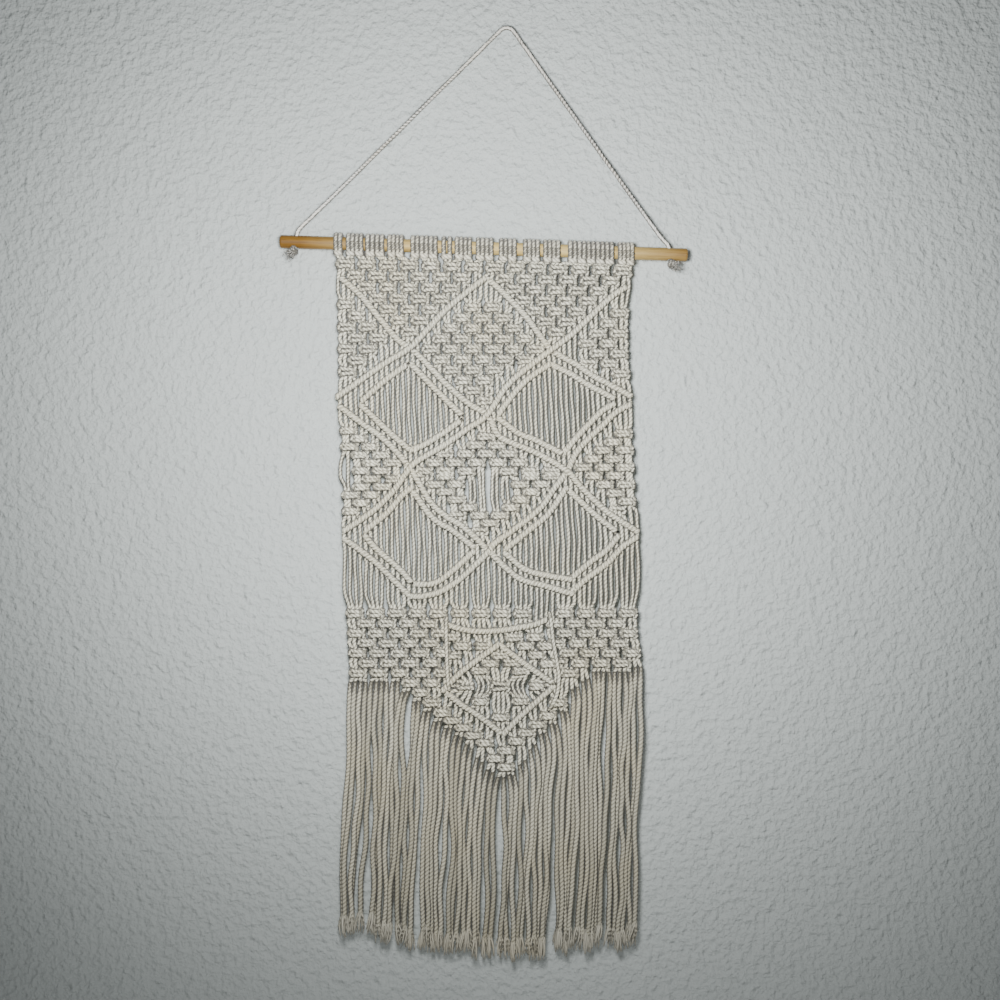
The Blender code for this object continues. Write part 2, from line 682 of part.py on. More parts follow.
def panel():
    outers = cloth_outlines()
    openings = windows()
    holes = [window_outline(window) for window in openings]
    holes += [diamond(SIDE_GAP["middle"], SIDE_GAP["half"])]
    holes += [diamond(knot_place(s, 1), ROW_GAP_HALF) for s in range(4, STRANDS, 4)]
    bars = bar_lines()
    rims = [closed(outline) for outline in [*outers, *holes]]
    spots = list(ROSETTE_KNOT)
    for source, from_bar in ((troughs(), TROUGH_FROM_BAR), (knots_and_gaps(), KNOT_FROM_BAR)):
        for spot in source:
            place = spot[:2]
            if not any(inside(outer, place) for outer in outers):
                continue
            if any(inside(hole, place) for hole in holes):
                continue
            if any(distance(place, rim) < KNOT_FROM_RIM for rim in rims):
                continue
            if any(distance(place, line) < from_bar for line in bars):
                continue
            if any(math.dist(place, other[:2]) < KNOT_FROM_SPOT for other in spots):
                continue
            spots.append(spot)
    ridges = [bar_ridge(line) for line in bars]
    bm, front = relief_sheet(list(outers), holes, ridges, spots)
    for window in openings:
        strands = window["strands"]
        middle = (strands[0] + strands[-1]) / 2
        half = strands[-1] - middle
        for across in strands:
            ends = [strand_ends(window[line], across) for line in ("top", "foot")]
            level = sum(d for end in ends for _, d in end) / 4
            bow = window["bow"] * (across - middle) / half
            top = drawn_out(bm, wall(front, ends[0]), across + bow, level)
            joined(bm, top, wall(front, ends[1]))
    for start, end in lower_strands():
        top = wall(front, strand_ends(lower_line(), start))
        joined(bm, top, wall(front, strand_ends(BAND_TOP, end)))
    return from_bmesh("panel", bm)


# ---------------------------------------------------------------- fringe
def fringe():
    """The strand ends, hanging plumb from a narrow strip that follows the hem."""
    (left, _), (right, _) = HEM[0], HEM[-1]
    foot_line = moved(HEM, BACKING_FOOT)
    roots = [left + (right - left) * (strand + 0.5) / STRANDS for strand in range(STRANDS)]
    foot = [p for a in roots for p in strand_ends(foot_line, a)]
    bm, front = relief_sheet([moved(HEM, BACKING_TOP) + foot[::-1]], [], [], [])
    for strand, across in enumerate(roots):
        start = along(foot_line, across)
        end = along(FRINGE_ENDS, across) + RAGGED * math.sin(RAGGED_TURN * strand)
        flare = FRINGE_FLARE * (1 - (strand + 0.5) / STRANDS)
        plumb = across - math.tan(LEAN) * (end - start) - flare
        root = wall(front, strand_ends(foot_line, across))
        knee = across + (plumb - across) * FRINGE_KNEE
        middle = drawn_out(bm, root, knee, (start + end) / 2)
        drawn_out(bm, middle, plumb, end)
    return from_bmesh("fringe", bm)


for old in list(bpy.data.objects):
    bpy.data.objects.remove(old)
HANGING = bpy.data.collections.new("macrame_wall_hanging")
WORK = bpy.data.collections.new("work")
CUTTERS = bpy.data.collections.new("cutters")
for collection in (HANGING, WORK, CUTTERS):
    bpy.context.scene.collection.children.link(collection)
CUTTERS.hide_render = True

cotton = material("cotton_cord", (0.74, 0.71, 0.63), 0.9)
hanger_cotton = material("hanger_cotton", (0.78, 0.75, 0.68), 0.9)
wood = material("dowel_wood", (0.66, 0.45, 0.25), 0.55)

finished(dowel(), wood)
finished(hanger_cord(), hanger_cotton)
for stopper_name in STOPPERS:
    finished(stopper(stopper_name), hanger_cotton)
finished(heading(), cotton, round_piece=False)
finished(panel(), cotton, round_piece=False)
finished(fringe(), cotton, round_piece=False)
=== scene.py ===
"""Macrame wall hanging: every cotton strand, knot and hitch of it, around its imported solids.

Tables hold millimetres seen from the front: across to the right of the pin, drop down from
it, and out towards the viewer from the dowel's own plane. LEAN turns them all.
"""
import math
import random

import bmesh
import bpy
from mathutils import Matrix, Vector


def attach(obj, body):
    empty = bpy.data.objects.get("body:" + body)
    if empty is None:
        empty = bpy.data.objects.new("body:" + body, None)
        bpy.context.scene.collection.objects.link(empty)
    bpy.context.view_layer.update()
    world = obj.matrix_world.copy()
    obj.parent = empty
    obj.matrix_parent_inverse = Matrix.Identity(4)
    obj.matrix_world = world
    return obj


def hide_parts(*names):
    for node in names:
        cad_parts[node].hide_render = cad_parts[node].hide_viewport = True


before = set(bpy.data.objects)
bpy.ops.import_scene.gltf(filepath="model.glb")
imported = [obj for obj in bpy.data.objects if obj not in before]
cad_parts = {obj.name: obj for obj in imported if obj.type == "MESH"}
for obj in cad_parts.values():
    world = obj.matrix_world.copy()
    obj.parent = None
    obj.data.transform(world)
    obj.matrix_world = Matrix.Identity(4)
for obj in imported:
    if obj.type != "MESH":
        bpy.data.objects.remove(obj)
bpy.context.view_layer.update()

MM = 0.001
LEAN = math.radians(1.5)
DOWEL_OUT = 6.7
DOWEL_ENDS = ((-226.8, 213.5), (180.3, 227.0))

STRANDS = 56
CORD_RADIUS = 2.5             # a strand hanging free, out to the crowns of its three plies
VALLEY = 0.82                 # how far out the valleys between the plies reach
TURN = 12.0                   # the plies make one turn in this length
PLIES = 3
RING_STEP = 1.15              # small beside a ply's share of a turn, so that its ridge shows
THIN_DEEPER = 12.0            # how much more painted shade a cord's sides get as it gets thinner
SIDE_DEEPER = 1.6             # the same for the sides of bars and lark's heads
RANDOM = random.Random(28)
uneven = RANDOM.uniform


# ---- places
def hung(across, drop, out=0.0):
    """A place on the hanging, in metres."""
    x = across * math.cos(LEAN) + drop * math.sin(LEAN)
    z = across * math.sin(LEAN) - drop * math.cos(LEAN)
    return Vector((x, -(DOWEL_OUT + out), z)) * MM


def between(table, at, column=1):
    """The value in a column of a table that is sorted by its first one."""
    if at <= table[0][0]:
        return table[0][column]
    for low, high in zip(table, table[1:]):
        if at <= high[0]:
            share = (at - low[0]) / (high[0] - low[0])
            return low[column] + (high[column] - low[column]) * share
    return table[-1][column]


def dowel_drop(across):
    return between(DOWEL_ENDS, across) if across > DOWEL_ENDS[0][0] else DOWEL_ENDS[0][1]


def smooth(route, per_span):
    """Points on the Catmull-Rom curve through a route."""
    points = [Vector(p) for p in route]
    path = [2 * points[0] - points[1]] + points + [2 * points[-1] - points[-2]]
    fine = []
    for i in range(1, len(path) - 2):
        before, start, end, after = path[i - 1:i + 3]
        for k in range(per_span):
            t = k / per_span
            fine.append(0.5 * (2 * start + (end - before) * t
                               + (2 * before - 5 * start + 4 * end - after) * t ** 2
                               + (3 * start - before - 3 * end + after) * t ** 3))
    return fine + [points[-1]]


def evenly(points, step):
    """Every point of a fine path that is a step on from the last one kept, and the end."""
    kept = [points[0]]
    for point in points[1:]:
        if (point - kept[-1]).length >= step:
            kept.append(point)
    kept[-1] = points[-1]
    return kept


def placed(name, data):
    """A new object in the scene for a curve, mesh, lamp or camera."""
    made = bpy.data.objects.new(name, data)
    bpy.context.scene.collection.objects.link(made)
    return made


# ---- camera
CAMERA_AT = hung(-7.0, 472.0)
CAMERA_OUT = 1.30
SENSOR = 36.0
camera_data = bpy.data.cameras.new("camera")
camera = placed("camera", camera_data)
camera_data.sensor_width = SENSOR
camera_data.lens = SENSOR * CAMERA_OUT        # the dowel's plane fills a frame 1 m wide
camera_data.clip_start, camera_data.clip_end = 0.05, 20.0
camera.matrix_world = (Matrix.Translation(CAMERA_AT - Vector((0.0, CAMERA_OUT, 0.0)))
                       @ Matrix.Rotation(-LEAN, 4, "Y")
                       @ Matrix.Rotation(math.radians(90), 4, "X"))
bpy.context.scene.camera = camera


# ---- twisted cord
def ply_section(radius):
    """A cord cut across: three plies, as crowns and valleys by turns."""
    curve = bpy.data.curves.new("ply_section", "CURVE")
    curve.dimensions = "2D"
    spline = curve.splines.new("POLY")
    spline.points.add(2 * PLIES - 1)
    spline.use_cyclic_u = True
    for i, point in enumerate(spline.points):
        reach = radius * MM * (VALLEY if i % 2 else 1.0)
        angle = math.pi * i / PLIES
        point.co = (reach * math.cos(angle), reach * math.sin(angle), 0.0, 1.0)
    return placed("ply_section", curve)


def twisted(name, runs, radius=CORD_RADIUS, turn=TURN, sideways=None, deeper=THIN_DEEPER):
    """One mesh of twisted cords. A run is (points in metres, girths, shade, first tilt).

    Its "flank" attribute is 0 where a cord faces out of the cloth and 1 where it faces along it,
    and the cotton turns it into painted shade. A stretch of less than full girth lies lower, so
    there the attribute is raised by "deeper" times what the girth lacks. With sideways, a
    direction for each run, it is 0 where the cord faces square to that way, and SIDE_DEEPER where
    it faces along it, whatever its girth.
    """
    section = ply_section(radius)
    curve = bpy.data.curves.new(name, "CURVE")
    curve.dimensions = "3D"
    curve.bevel_mode = "OBJECT"
    curve.bevel_object = section
    curve.twist_mode = "MINIMUM"
    sides = 2 * PLIES
    distances, shades = [], []
    for points, girths, shade, tilt in runs:
        spline = curve.splines.new("POLY")
        spline.points.add(len(points) - 1)
        gone, last = 0.0, points[0]
        for place, girth, point in zip(points, girths, spline.points):
            gone += (place - last).length
            last = place
            point.co = (*place, 1.0)
            point.radius = girth
            point.tilt = (tilt + math.tau * gone / (turn * MM)) % math.tau
            distances += [gone] * sides
            shades += [shade] * sides
    made = placed(name, curve)
    bpy.context.view_layer.update()
    seen = made.evaluated_get(bpy.context.evaluated_depsgraph_get())
    mesh = bpy.data.meshes.new_from_object(seen)
    for done in (made, section):
        bpy.data.objects.remove(done)
    crowns = [1.0 - i % 2 for i in range(sides)] * (len(distances) // sides)
    for label, values in (("shade", shades), ("crown", crowns)):
        mesh.attributes.new(label, "FLOAT", "POINT").data.foreach_set("value", values)
    way = mesh.uv_layers[0]
    way.name = "cord_way"
    places = []
    for face in mesh.polygons:
        corners = [mesh.loops[i].vertex_index for i in face.loop_indices]
        closing = {c % sides for c in corners} == {0, sides - 1}
        for corner in corners:
            around = corner % sides
            places += [distances[corner] / (turn * MM),
                       1.0 if closing and not around else around / sides]
    way.data.foreach_set("uv", places)
    bm = bmesh.new()
    bm.from_mesh(mesh)
    rims = [edge for edge in bm.edges if edge.is_boundary]
    bmesh.ops.holes_fill(bm, edges=rims, sides=sides)
    bmesh.ops.recalc_face_normals(bm, faces=bm.faces[:])
    bm.to_mesh(mesh)
    bm.free()
    mesh.shade_smooth()
    if sideways:
        ways = [side for run, side in zip(runs, sideways) for _ in range(sides * len(run[0]))]
        flanks = [SIDE_DEEPER * (1.0 - math.sqrt(max(0.0, 1.0 - vert.normal.dot(side) ** 2)))
                  for vert, side in zip(mesh.vertices, ways)]
    else:
        depths = [1.0 + deeper * max(0.0, 1.0 - girth)
                  for _, girths, _, _ in runs for girth in girths for _ in range(sides)]
        flanks = [(1.0 - abs(vert.normal.y)) * deep for vert, deep in zip(mesh.vertices, depths)]
    mesh.attributes.new("flank", "FLOAT", "POINT").data.foreach_set("value", flanks)
    return placed(name, mesh)


# ---- hanger cord
HANGER_WIDTH = 4.6
SMOOTH_STEPS = 12
HANGER_ROUTE = [
    (-210.6, 219.9, 0.0), (-210.4, 214.0, 0.0), (-210.2, 208.5, -0.1), (-209.2, 203.6, -0.2),
    (-206.0, 199.4, -0.3), (-194.0, 187.6, -0.7), (-170.0, 164.0, -1.5), (-140.0, 134.0, -2.4),
    (-105.0, 98.8, -3.6), (-70.0, 63.6, -4.8), (-40.0, 33.6, -5.8), (-20.0, 13.6, -6.4),
    (-6.8, 0.4, -6.7), (-3.8, -1.6, -6.7), (-0.4, -2.3, -6.7), (3.7, -1.3, -6.7),
    (6.9, 1.5, -6.7), (18.0, 17.4, -6.3), (36.0, 43.0, -5.5), (62.0, 80.0, -4.3),
    (90.0, 119.6, -3.1), (120.0, 162.0, -1.8), (145.0, 197.3, -0.7), (155.6, 211.6, -0.3),
    (160.4, 216.6, -0.1), (162.2, 221.4, 0.0), (162.3, 226.4, 0.0), (162.2, 232.2, 0.0),
]
hanger_path = evenly(smooth([hung(*p) for p in HANGER_ROUTE], SMOOTH_STEPS), 2.0 * MM)
hanger_length = sum((b - a).length for a, b in zip(hanger_path, hanger_path[1:]))
hanger = twisted("hanger_cord_twisted", [(hanger_path, [1.0] * len(hanger_path), 0.5, 0.0)],
                 radius=HANGER_WIDTH / 2)

# Each stopper knot: its middle, and the tip of its frayed free end.
STOPPERS = {
    "stopper_left": {"middle": (-212.9, 222.8, 3.6), "tip": (-220.5, 233.5, 4.5)},
    "stopper_right": {"middle": (164.0, 236.0, 3.6), "tip": (175.0, 242.5, 4.5)},
}
STOPPER_TURNS, STOPPER_STEPS = 2, 18      # turns round the cord's own way, and points of each
STOPPER_WIDE, STOPPER_RISE = 3.0, 2.6     # half its size across the cord's way, and along it
STOPPER_RADIUS, STOPPER_CORD = 2.2, 2.0   # the plies' section, and what it is drawn in to
# The last turn, which lies over the others.
STOPPER_OVER = [
    (-2.4, -1.6, -2.2), (-3.0, -3.2, -0.9), (-1.2, -3.9, 0.6), (1.4, -3.3, 1.7),
    (2.6, -1.6, 2.4),
]
# A loose yarn: its girth from root to tip, how far its tip strays along the cloth and out of
# it, and how soon the yarns of a brush have spread.
YARN_GIRTHS = [1.0, 0.95, 0.85, 0.7, 0.4]
YARN_ASIDE, YARN_OUT = 2.6, 1.4
YARN_SPREADS = 2.4


def brush(middle, tip, hairs, root, spread, start=0.0):
    """Runs of fine yarns that fan out from a cord's cut end."""
    way = tip - middle
    side = way.cross(Vector((0.0, 1.0, 0.0))).normalized()
    front = way.cross(side).normalized()
    runs = []
    for hair in range(hairs):
        angle = math.tau * (hair + uneven(-0.3, 0.3)) / hairs
        reach = math.sqrt((hair % 3 + 1) / 3)
        flat = side * math.cos(angle) + front * math.sin(angle)
        bend = side * uneven(-YARN_ASIDE, YARN_ASIDE) + front * uneven(-YARN_OUT, YARN_OUT)
        long = uneven(0.5, 1.05)
        points = []
        for step in range(len(YARN_GIRTHS)):
            t = step / (len(YARN_GIRTHS) - 1)
            out = root + (spread - root) * math.sin(YARN_SPREADS * t)
            points.append(middle + way * (start + (long - start) * t)
                          + (flat * reach * out + bend * t * t) * MM)
        runs.append((points, YARN_GIRTHS, uneven(0.35, 0.75), angle))
    return runs


def stopper(name):
    """An overhand knot drawn tight, in the cord's own plies, with its brush of loose yarns."""
    middle = hung(*STOPPERS[name]["middle"])
    tip = hung(*STOPPERS[name]["tip"])
    lay = (tip - middle).to_track_quat("Z", "Y").to_matrix()
    loops = []
    steps = STOPPER_STEPS * STOPPER_TURNS
    for step in range(steps + 1):
        turn = STOPPER_TURNS * math.tau * step / steps
        rise = -STOPPER_RISE + 2 * STOPPER_RISE * step / steps
        wide = STOPPER_WIDE * (1.0 - 0.25 * abs(rise) / STOPPER_RISE)
        loops.append(middle + lay @ Vector((wide * math.cos(turn), wide * math.sin(turn),
                                            rise)) * MM)
    over = [middle + lay @ (Vector(p) * MM) for p in STOPPER_OVER]
    over = evenly(smooth(over, 6), 0.9 * MM)
    girth = STOPPER_CORD / STOPPER_RADIUS
    runs = [(loops, [girth] * len(loops), 0.5, 0.0), (over, [girth] * len(over), 0.55, 1.0)]
    knot = twisted(name + "_knot", runs, radius=STOPPER_RADIUS, turn=11.0)
    yarns = twisted(name + "_yarns", brush(middle, tip, hairs=30, root=0.8, spread=6.0),
                    radius=0.5, turn=5.0, deeper=0.0)
    return joined(name + "_knotted", [knot, yarns])


def joined(name, pieces):
    """Pieces made one mesh, with their attributes and cord ways kept."""
    first = pieces[0]
    with bpy.context.temp_override(active_object=first, object=first,
                                   selected_editable_objects=pieces,
                                   selected_objects=pieces):
        bpy.ops.object.join()
    first.name = name
    first.data.name = name
    return first


stoppers = {name: stopper(name) for name in STOPPERS}
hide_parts("hanger_cord")
tuple(hanger_path[0])
[tuple(p) for p in hanger_path]
for node, knotted in stoppers.items():
    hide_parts(node)

# ---- the lattice of strands
# Where the knotted cloth's edges are at each drop, to the outsides of its first and last strand.
EDGES = [
    (229, -172.2, 126.3), (240, -172.2, 126.3), (272, -170.9, 122.4), (322, -169.9, 122.4),
    (372, -169.4, 125.4), (452, -166.9, 129.4), (512, -165.4, 133.4), (572, -164.4, 133.4),
    (592, -161.4, 130.4), (632, -159.4, 136.4), (760, -159.4, 136.4),
]
# Lark's heads on the dowel, in groups with bare wood between: from, to, number of heads.
HEAD_GROUPS = [
    (-172.2, -164.0, 1), (-160.0, -143.0, 2), (-141.0, -122.0, 2), (-119.0, -103.0, 2),
    (-96.0, -69.0, 3), (-66.0, -54.0, 1), (-52.0, -35.0, 2), (-31.0, -13.5, 2), (-8.0, 9.5, 2),
    (16.0, 32.5, 2), (36.0, 53.0, 2), (60.6, 106.5, 5), (110.5, 126.3, 2),
]
# A lark's head seen from the left: drop from the dowel's axis, and out.
HEAD_TURN = [
    (12.0, 1.2), (10.2, 2.2), (8.4, 4.2), (4.2, 7.7), (0.0, 8.6), (-6.0, 6.1), (-8.6, 0.0),
    (-6.0, -6.1), (0.0, -8.6), (6.0, -6.1), (8.6, -0.8), (9.8, 3.2), (10.4, 5.6),
]
BIGHT = (10.8, 7.2)
HEAD_GIRTH = 1.1

# Bars of hitches, as (across, drop) along their middles. Where two cross, the first one listed
# runs on and the other passes behind it.
CROSS_LEFT, CROSS_RIGHT, CROSS_CENTRE = (-97, 320), (44, 322), (-20, 387)
FORK_LEFT, FORK_RIGHT, LOW_CENTRE = (-97, 440), (60, 443), (-18, 523)
BARS = [
    [(119, 259), (102, 271), (80, 292), (63, 308), CROSS_RIGHT, (27, 335), (9, 349), (-4, 363),
     CROSS_CENTRE, (-41, 402), (-64, 418), (-86, 431), FORK_LEFT, (-111, 460), (-127, 477),
     (-142, 489), (-163, 503)],
    [(-21, 250), (-37, 262), (-60, 281), (-76, 298), CROSS_LEFT, (-121, 335), (-144, 351),
     (-168, 368)],
    [(-166, 250), (-146, 268), (-127, 291), (-109, 312), CROSS_LEFT, (-82, 334), (-61, 356),
     (-38, 376), CROSS_CENTRE, (-9, 407), (5, 415), (20, 421), (35, 428), FORK_RIGHT,
     (72, 457), (87, 472), (103, 486), (131, 504)],
    [(-21, 250), (-5, 264), (18, 288), (32, 307), CROSS_RIGHT, (55, 329), (71, 338),
     (84, 347), (101, 356), (123, 368)],
    [(124, 376), (108, 385), (97, 396), (82, 410), (69, 425), FORK_RIGHT, (46, 462),
     (36, 477), (23, 489), (6, 502), (-12, 515), LOW_CENTRE, (-35, 540), (-51, 554),
     (-68, 564), (-85, 568), (-97, 568)],
    [(-168, 378), (-144, 396), (-121, 413), FORK_LEFT, (-77, 473), (-61, 488), (-42, 500),
     LOW_CENTRE, (-3, 538), (14, 551), (36, 557), (63, 565)],
    [(-163, 510), (-144, 524), (-127, 538), (-97, 568)],
    [(131, 508), (115, 519), (100, 535), (80, 550), (63, 565)],
    [(-146, 374), (-121, 352), (-97, 335)], [(-97, 335), (-74, 359), (-55, 378), (-44, 388)],
    [(-9, 387), (5, 368), (20, 352), (43, 336)],
    [(43, 336), (63, 346), (79, 356), (96, 365), (109, 372)],
    [(-146, 377), (-119, 403), (-97, 422)], [(-97, 422), (-83, 417), (-62, 404), (-44, 391)],
    [(-9, 390), (11, 405), (26, 411), (40, 418), (56, 426)],
    [(56, 426), (68, 411), (80, 398), (95, 383), (109, 375)],
    [(-142, 503), (-120, 485), (-105, 468), (-96, 460)],
    [(-96, 460), (-75, 489), (-55, 502), (-33, 519)],
    [(-2, 521), (6, 515), (22, 502), (41, 486), (59, 460)],
    [(59, 460), (71, 471), (87, 486), (111, 505)],
    [(-142, 507), (-131, 520), (-106, 542), (-94, 556)],
    [(-94, 556), (-73, 555), (-56, 544), (-33, 523)],
    [(-2, 525), (18, 541), (39, 547), (63, 551)], [(63, 551), (83, 534), (99, 522), (111, 508)],
    [(-61, 596), (-44, 601), (-27, 603), (-7, 602), (13, 599), (28, 596), (42, 590)],
    [(-8, 616), (-29, 631), (-47, 645), (-63, 661)], [(-8, 616), (13, 632), (33, 646), (49, 656)],
    [(49, 656), (33, 670), (13, 688), (-4, 706)], [(-63, 661), (-47, 675), (-27, 688), (-4, 706)],
]
HEM = [
    (-157.4, 650), (-106, 651), (-77, 680), (-41, 714), (-18, 742), (-4, 751), (10, 740),
    (28, 714), (49, 684), (65, 662), (89, 643), (133.6, 639),
]
# Fields of square knots. Their first row's middle and the rows' pitch are drops; "first" is
# the gap between strands, counted from the left, that a knot of the first row is centred on,
# and every fourth one from it has a knot too, while the next row is two strands on.
TOP_SLOPE, TOP_SLOPE_LESS = 0.027, 0.0038
FIELDS = [
    {"top": 236.0, "pitch": 11.3, "rows": 8, "first": 2, "sloping": True, "within": [
        (-180, 222), (-20, 226), (-21, 250), CROSS_LEFT, (-166, 250), (-180, 250)]},
    {"top": 236.0, "pitch": 11.3, "rows": 8, "first": 2, "sloping": True, "within": [
        (-20, 226), (140, 232), (140, 259), (119, 259), CROSS_RIGHT, (-21, 250)]},
    {"top": 280.2, "pitch": 10.35, "rows": 11, "first": 2, "within": [
        (-21, 250), CROSS_RIGHT, CROSS_CENTRE, CROSS_LEFT]},
    {"top": 277.0, "pitch": 11.15, "rows": 9, "first": 2, "last_gap": 8, "within": [
        (-180, 260), (-166, 250), CROSS_LEFT, (-144, 351), (-165, 367), (-180, 367)]},
    {"top": 276.0, "pitch": 10.0, "rows": 10, "first": 52, "first_gap": 48, "within": [
        (140, 262), (119, 259), CROSS_RIGHT, (84, 347), (121, 367), (140, 367)]},
    {"top": 403.0, "pitch": 8.0, "rows": 12, "first": 2, "bare": ((-180, -147), (430, 455)),
     "within": [(-180, 379), (-165, 379), FORK_LEFT, (-160, 501), (-180, 501)]},
    {"top": 397.0, "pitch": 8.5, "rows": 12, "first": 52, "within": [
        (140, 376), (122, 376), FORK_RIGHT, (129, 502), (140, 502)]},
    {"top": 400.0, "pitch": 8.65, "rows": 6, "first": 26, "within": [
        CROSS_CENTRE, (-97, 450), (60, 450)]},
    {"top": 448.5, "pitch": 7.75, "rows": 9, "first": 28, "within": [
        (-97, 444), (60, 444), LOW_CENTRE]},
    {"top": 585.0, "pitch": 10.0, "rows": 1, "first": 2, "within": [
        (-180, 570), (150, 570), (150, 590), (-180, 590)]},
    {"top": 595.0, "pitch": 9.9, "rows": 11, "first": 4, "within": [
        (-180, 590), (-64, 590), (-56, 606), (-56, 646), (-63, 661), (-36, 682), (-60, 697),
        (-106, 651), (-180, 651)]},
    {"top": 595.0, "pitch": 9.9, "rows": 11, "first": 4, "within": [
        (150, 590), (46, 590), (44, 606), (44, 640), (49, 656), (30, 672), (46, 688),
        (89, 643), (150, 643)]},
    {"top": 609.0, "pitch": 8.7, "rows": 6, "first": 24, "within": [
        (-56, 600), (-8, 605), (44, 596), (44, 640), (-8, 612), (-56, 646)]},
    {"top": 684.0, "pitch": 7.6, "rows": 6, "first": 22, "last_gap": 24, "within": [
        (-63, 661), (-4, 706), (-4, 751), (-60, 697)]},
    {"top": 687.0, "pitch": 8.5, "rows": 5, "first": 38, "first_gap": 32, "within": [
        (49, 656), (-4, 706), (-4, 751), (46, 688)]},
    {"top": 627.0, "pitch": 7.7, "rows": 11, "first": 29, "round_rosette": True, "within": [
        (-8, 616), (49, 656), (-4, 706), (-63, 661)]},
]
# The rosette: one big knot, and round it a place without knots whose strands it draws in.
ROSETTE = {"across": -7.0, "drop": 657.8, "gap": 29, "bare": [
    (-7, 636), (-22, 646), (-44, 646), (-44, 669.5), (-24, 669.5), (-24, 684), (-7, 686),
    (10, 684), (10, 669.5), (30, 669.5), (30, 646), (8, 646)]}
DRAWN_IN, IN_WIDE, IN_TALL = 0.5, 60.0, 11.0
TIP_KNOTS = [(26, 714.0), (30, 722.0), (28, 730.0), (30, 738.5)]
# The opening beside the middle, which free strands cross.
WINDOW = {"top": [(-48, 460), (-39, 446), (-24, 437), (-17, 437), (-1, 444), (12, 462)],
          "foot": [(-48, 460), (-39, 472), (-24, 476), (-18, 478), (-3, 472), (12, 462)]}
HITCH_APART = 6.0             # along a strand
BAR_CLEAR = 7.0               # from a bar's middle to the middle of the nearest knot
HEM_CLEAR = WINDOW_CLEAR = 4.0
TIP_TALL, ROSETTE_TALL, ROSETTE_WIDER = 8.2, 13.0, 1.1

# A square knot: across, drop from its top, out. The fillers run straight through it.
KNOT_TALL = 11.4
LEFT_WORKER = [
    (-4.8, 0.0, 0.3), (-6.3, 1.5, 1.0), (-5.6, 2.8, 2.8), (-2.8, 3.3, 4.0), (0.8, 3.5, 4.3),
    (4.2, 3.8, 3.6), (6.3, 4.6, 1.8), (6.9, 5.7, 0.8), (6.3, 6.8, 1.8), (4.2, 7.6, 3.6),
    (0.8, 7.9, 4.3), (-2.8, 8.1, 4.0), (-5.6, 8.6, 2.8), (-6.3, 9.9, 1.0), (-4.8, 11.4, 0.3),
]
RIGHT_WORKER = [
    (4.8, 0.0, 0.3), (6.4, 1.4, 1.7), (6.8, 3.0, 2.8), (6.0, 4.6, 1.2), (4.0, 5.2, -2.2),
    (0.0, 4.6, -4.0), (-4.2, 3.8, -3.2), (-6.4, 3.6, -0.4), (-7.0, 4.5, 2.2), (-6.8, 5.7, 3.1),
    (-7.0, 6.9, 2.2), (-6.4, 7.8, -0.4), (-4.2, 7.7, -3.2), (0.0, 7.0, -4.0), (4.0, 6.4, -2.2),
    (6.0, 6.9, 1.2), (6.8, 8.4, 2.8), (6.4, 10.0, 1.7), (4.8, 11.4, 0.3),
]
FILLERS = [[(side * 1.9, v, 0.0) for v in (0.0, 3.0, 6.0, 9.0, 11.4)] for side in (-1, 1)]
KNOT_GIRTH = 1.1
KNOT_SPREAD = 1.12            # knots are wide enough to touch their neighbours
SLIM_GIRTH, SLIM_FROM = 0.94, 22.0    # a strand that crosses a long opening is drawn thinner
# Openings that strands hang apart round: across, drop, half the height, half the width.
SLITS = [(-20.5, 456.0, 20.0, 3.6), (-163.5, 443.0, 14.0, 2.0)]
SLIT_FADE = 5.0

# Bars stand proud of the knots beside them, whose strands are drawn in under them.
BAR_OUT = 2.4
BAR_STEPS = 6                 # points of a bar's line for each stretch in its table
BAR_DIP, DIP_REACH = 3.6, 6.0     # how far a bar passes behind another
BAR_GIRTH = 0.86
# Strands lie low this near a bar's middle and free this far from it. Where they lie low they
# may be so far out, and where they are free so much further.
DRAWN_NEAR, DRAWN_FAR = 4.0, 12.0
DRAWN_OUT, DRAWN_RISE = 0.3, 5.0
PASS_REACH = 3.2              # a strand's straight way through a bar's turns
# A strand's two turns round a bar go on along it behind, and nearly square across its front.
WRAP_PITCH = 3.7
WRAP_REACH = 2.1
WRAP_STEPS = 10
WRAP_SQUARE = 0.9
WRAP_GIRTH = 0.87
WRAP_STEP = 1.6               # the hitches are many, so their rings are further apart


def edges_at(drop):
    return between(EDGES, drop, 1), between(EDGES, drop, 2)


def lattice(place, drop):
    """Across of a place counted in strands from the left edge."""
    left, right = edges_at(drop)
    return left + (right - left) * place / STRANDS


def counted(across, drop):
    """A place in strands from the left edge, from its across."""
    left, right = edges_at(drop)
    return (across - left) / (right - left) * STRANDS


def inside(outline, across, drop):
    odd = False
    for (a0, d0), (a1, d1) in zip(outline, outline[1:] + outline[:1]):
        if (d0 > drop) != (d1 > drop) and across < a0 + (a1 - a0) * (drop - d0) / (d1 - d0):
            odd = not odd
    return odd


def distance(across, drop, line):
    """How near a line of (across, drop) points passes."""
    spot, nearest = Vector((across, drop)), math.inf
    for start, end in zip(line, line[1:]):
        start, run = Vector(start), Vector(end) - Vector(start)
        share = min(max((spot - start).dot(run) / run.length_squared, 0.0), 1.0)
        nearest = min(nearest, (spot - start - run * share).length)
    return nearest


def drawn_in(across, drop):
    """An across, brought nearer the rosette's middle, most of all beside its knot."""
    off = across - ROSETTE["across"]
    level = math.exp(-((drop - ROSETTE["drop"]) / IN_TALL) ** 2)
    return across - off * DRAWN_IN * level * max(0.0, 1.0 - abs(off) / IN_WIDE)


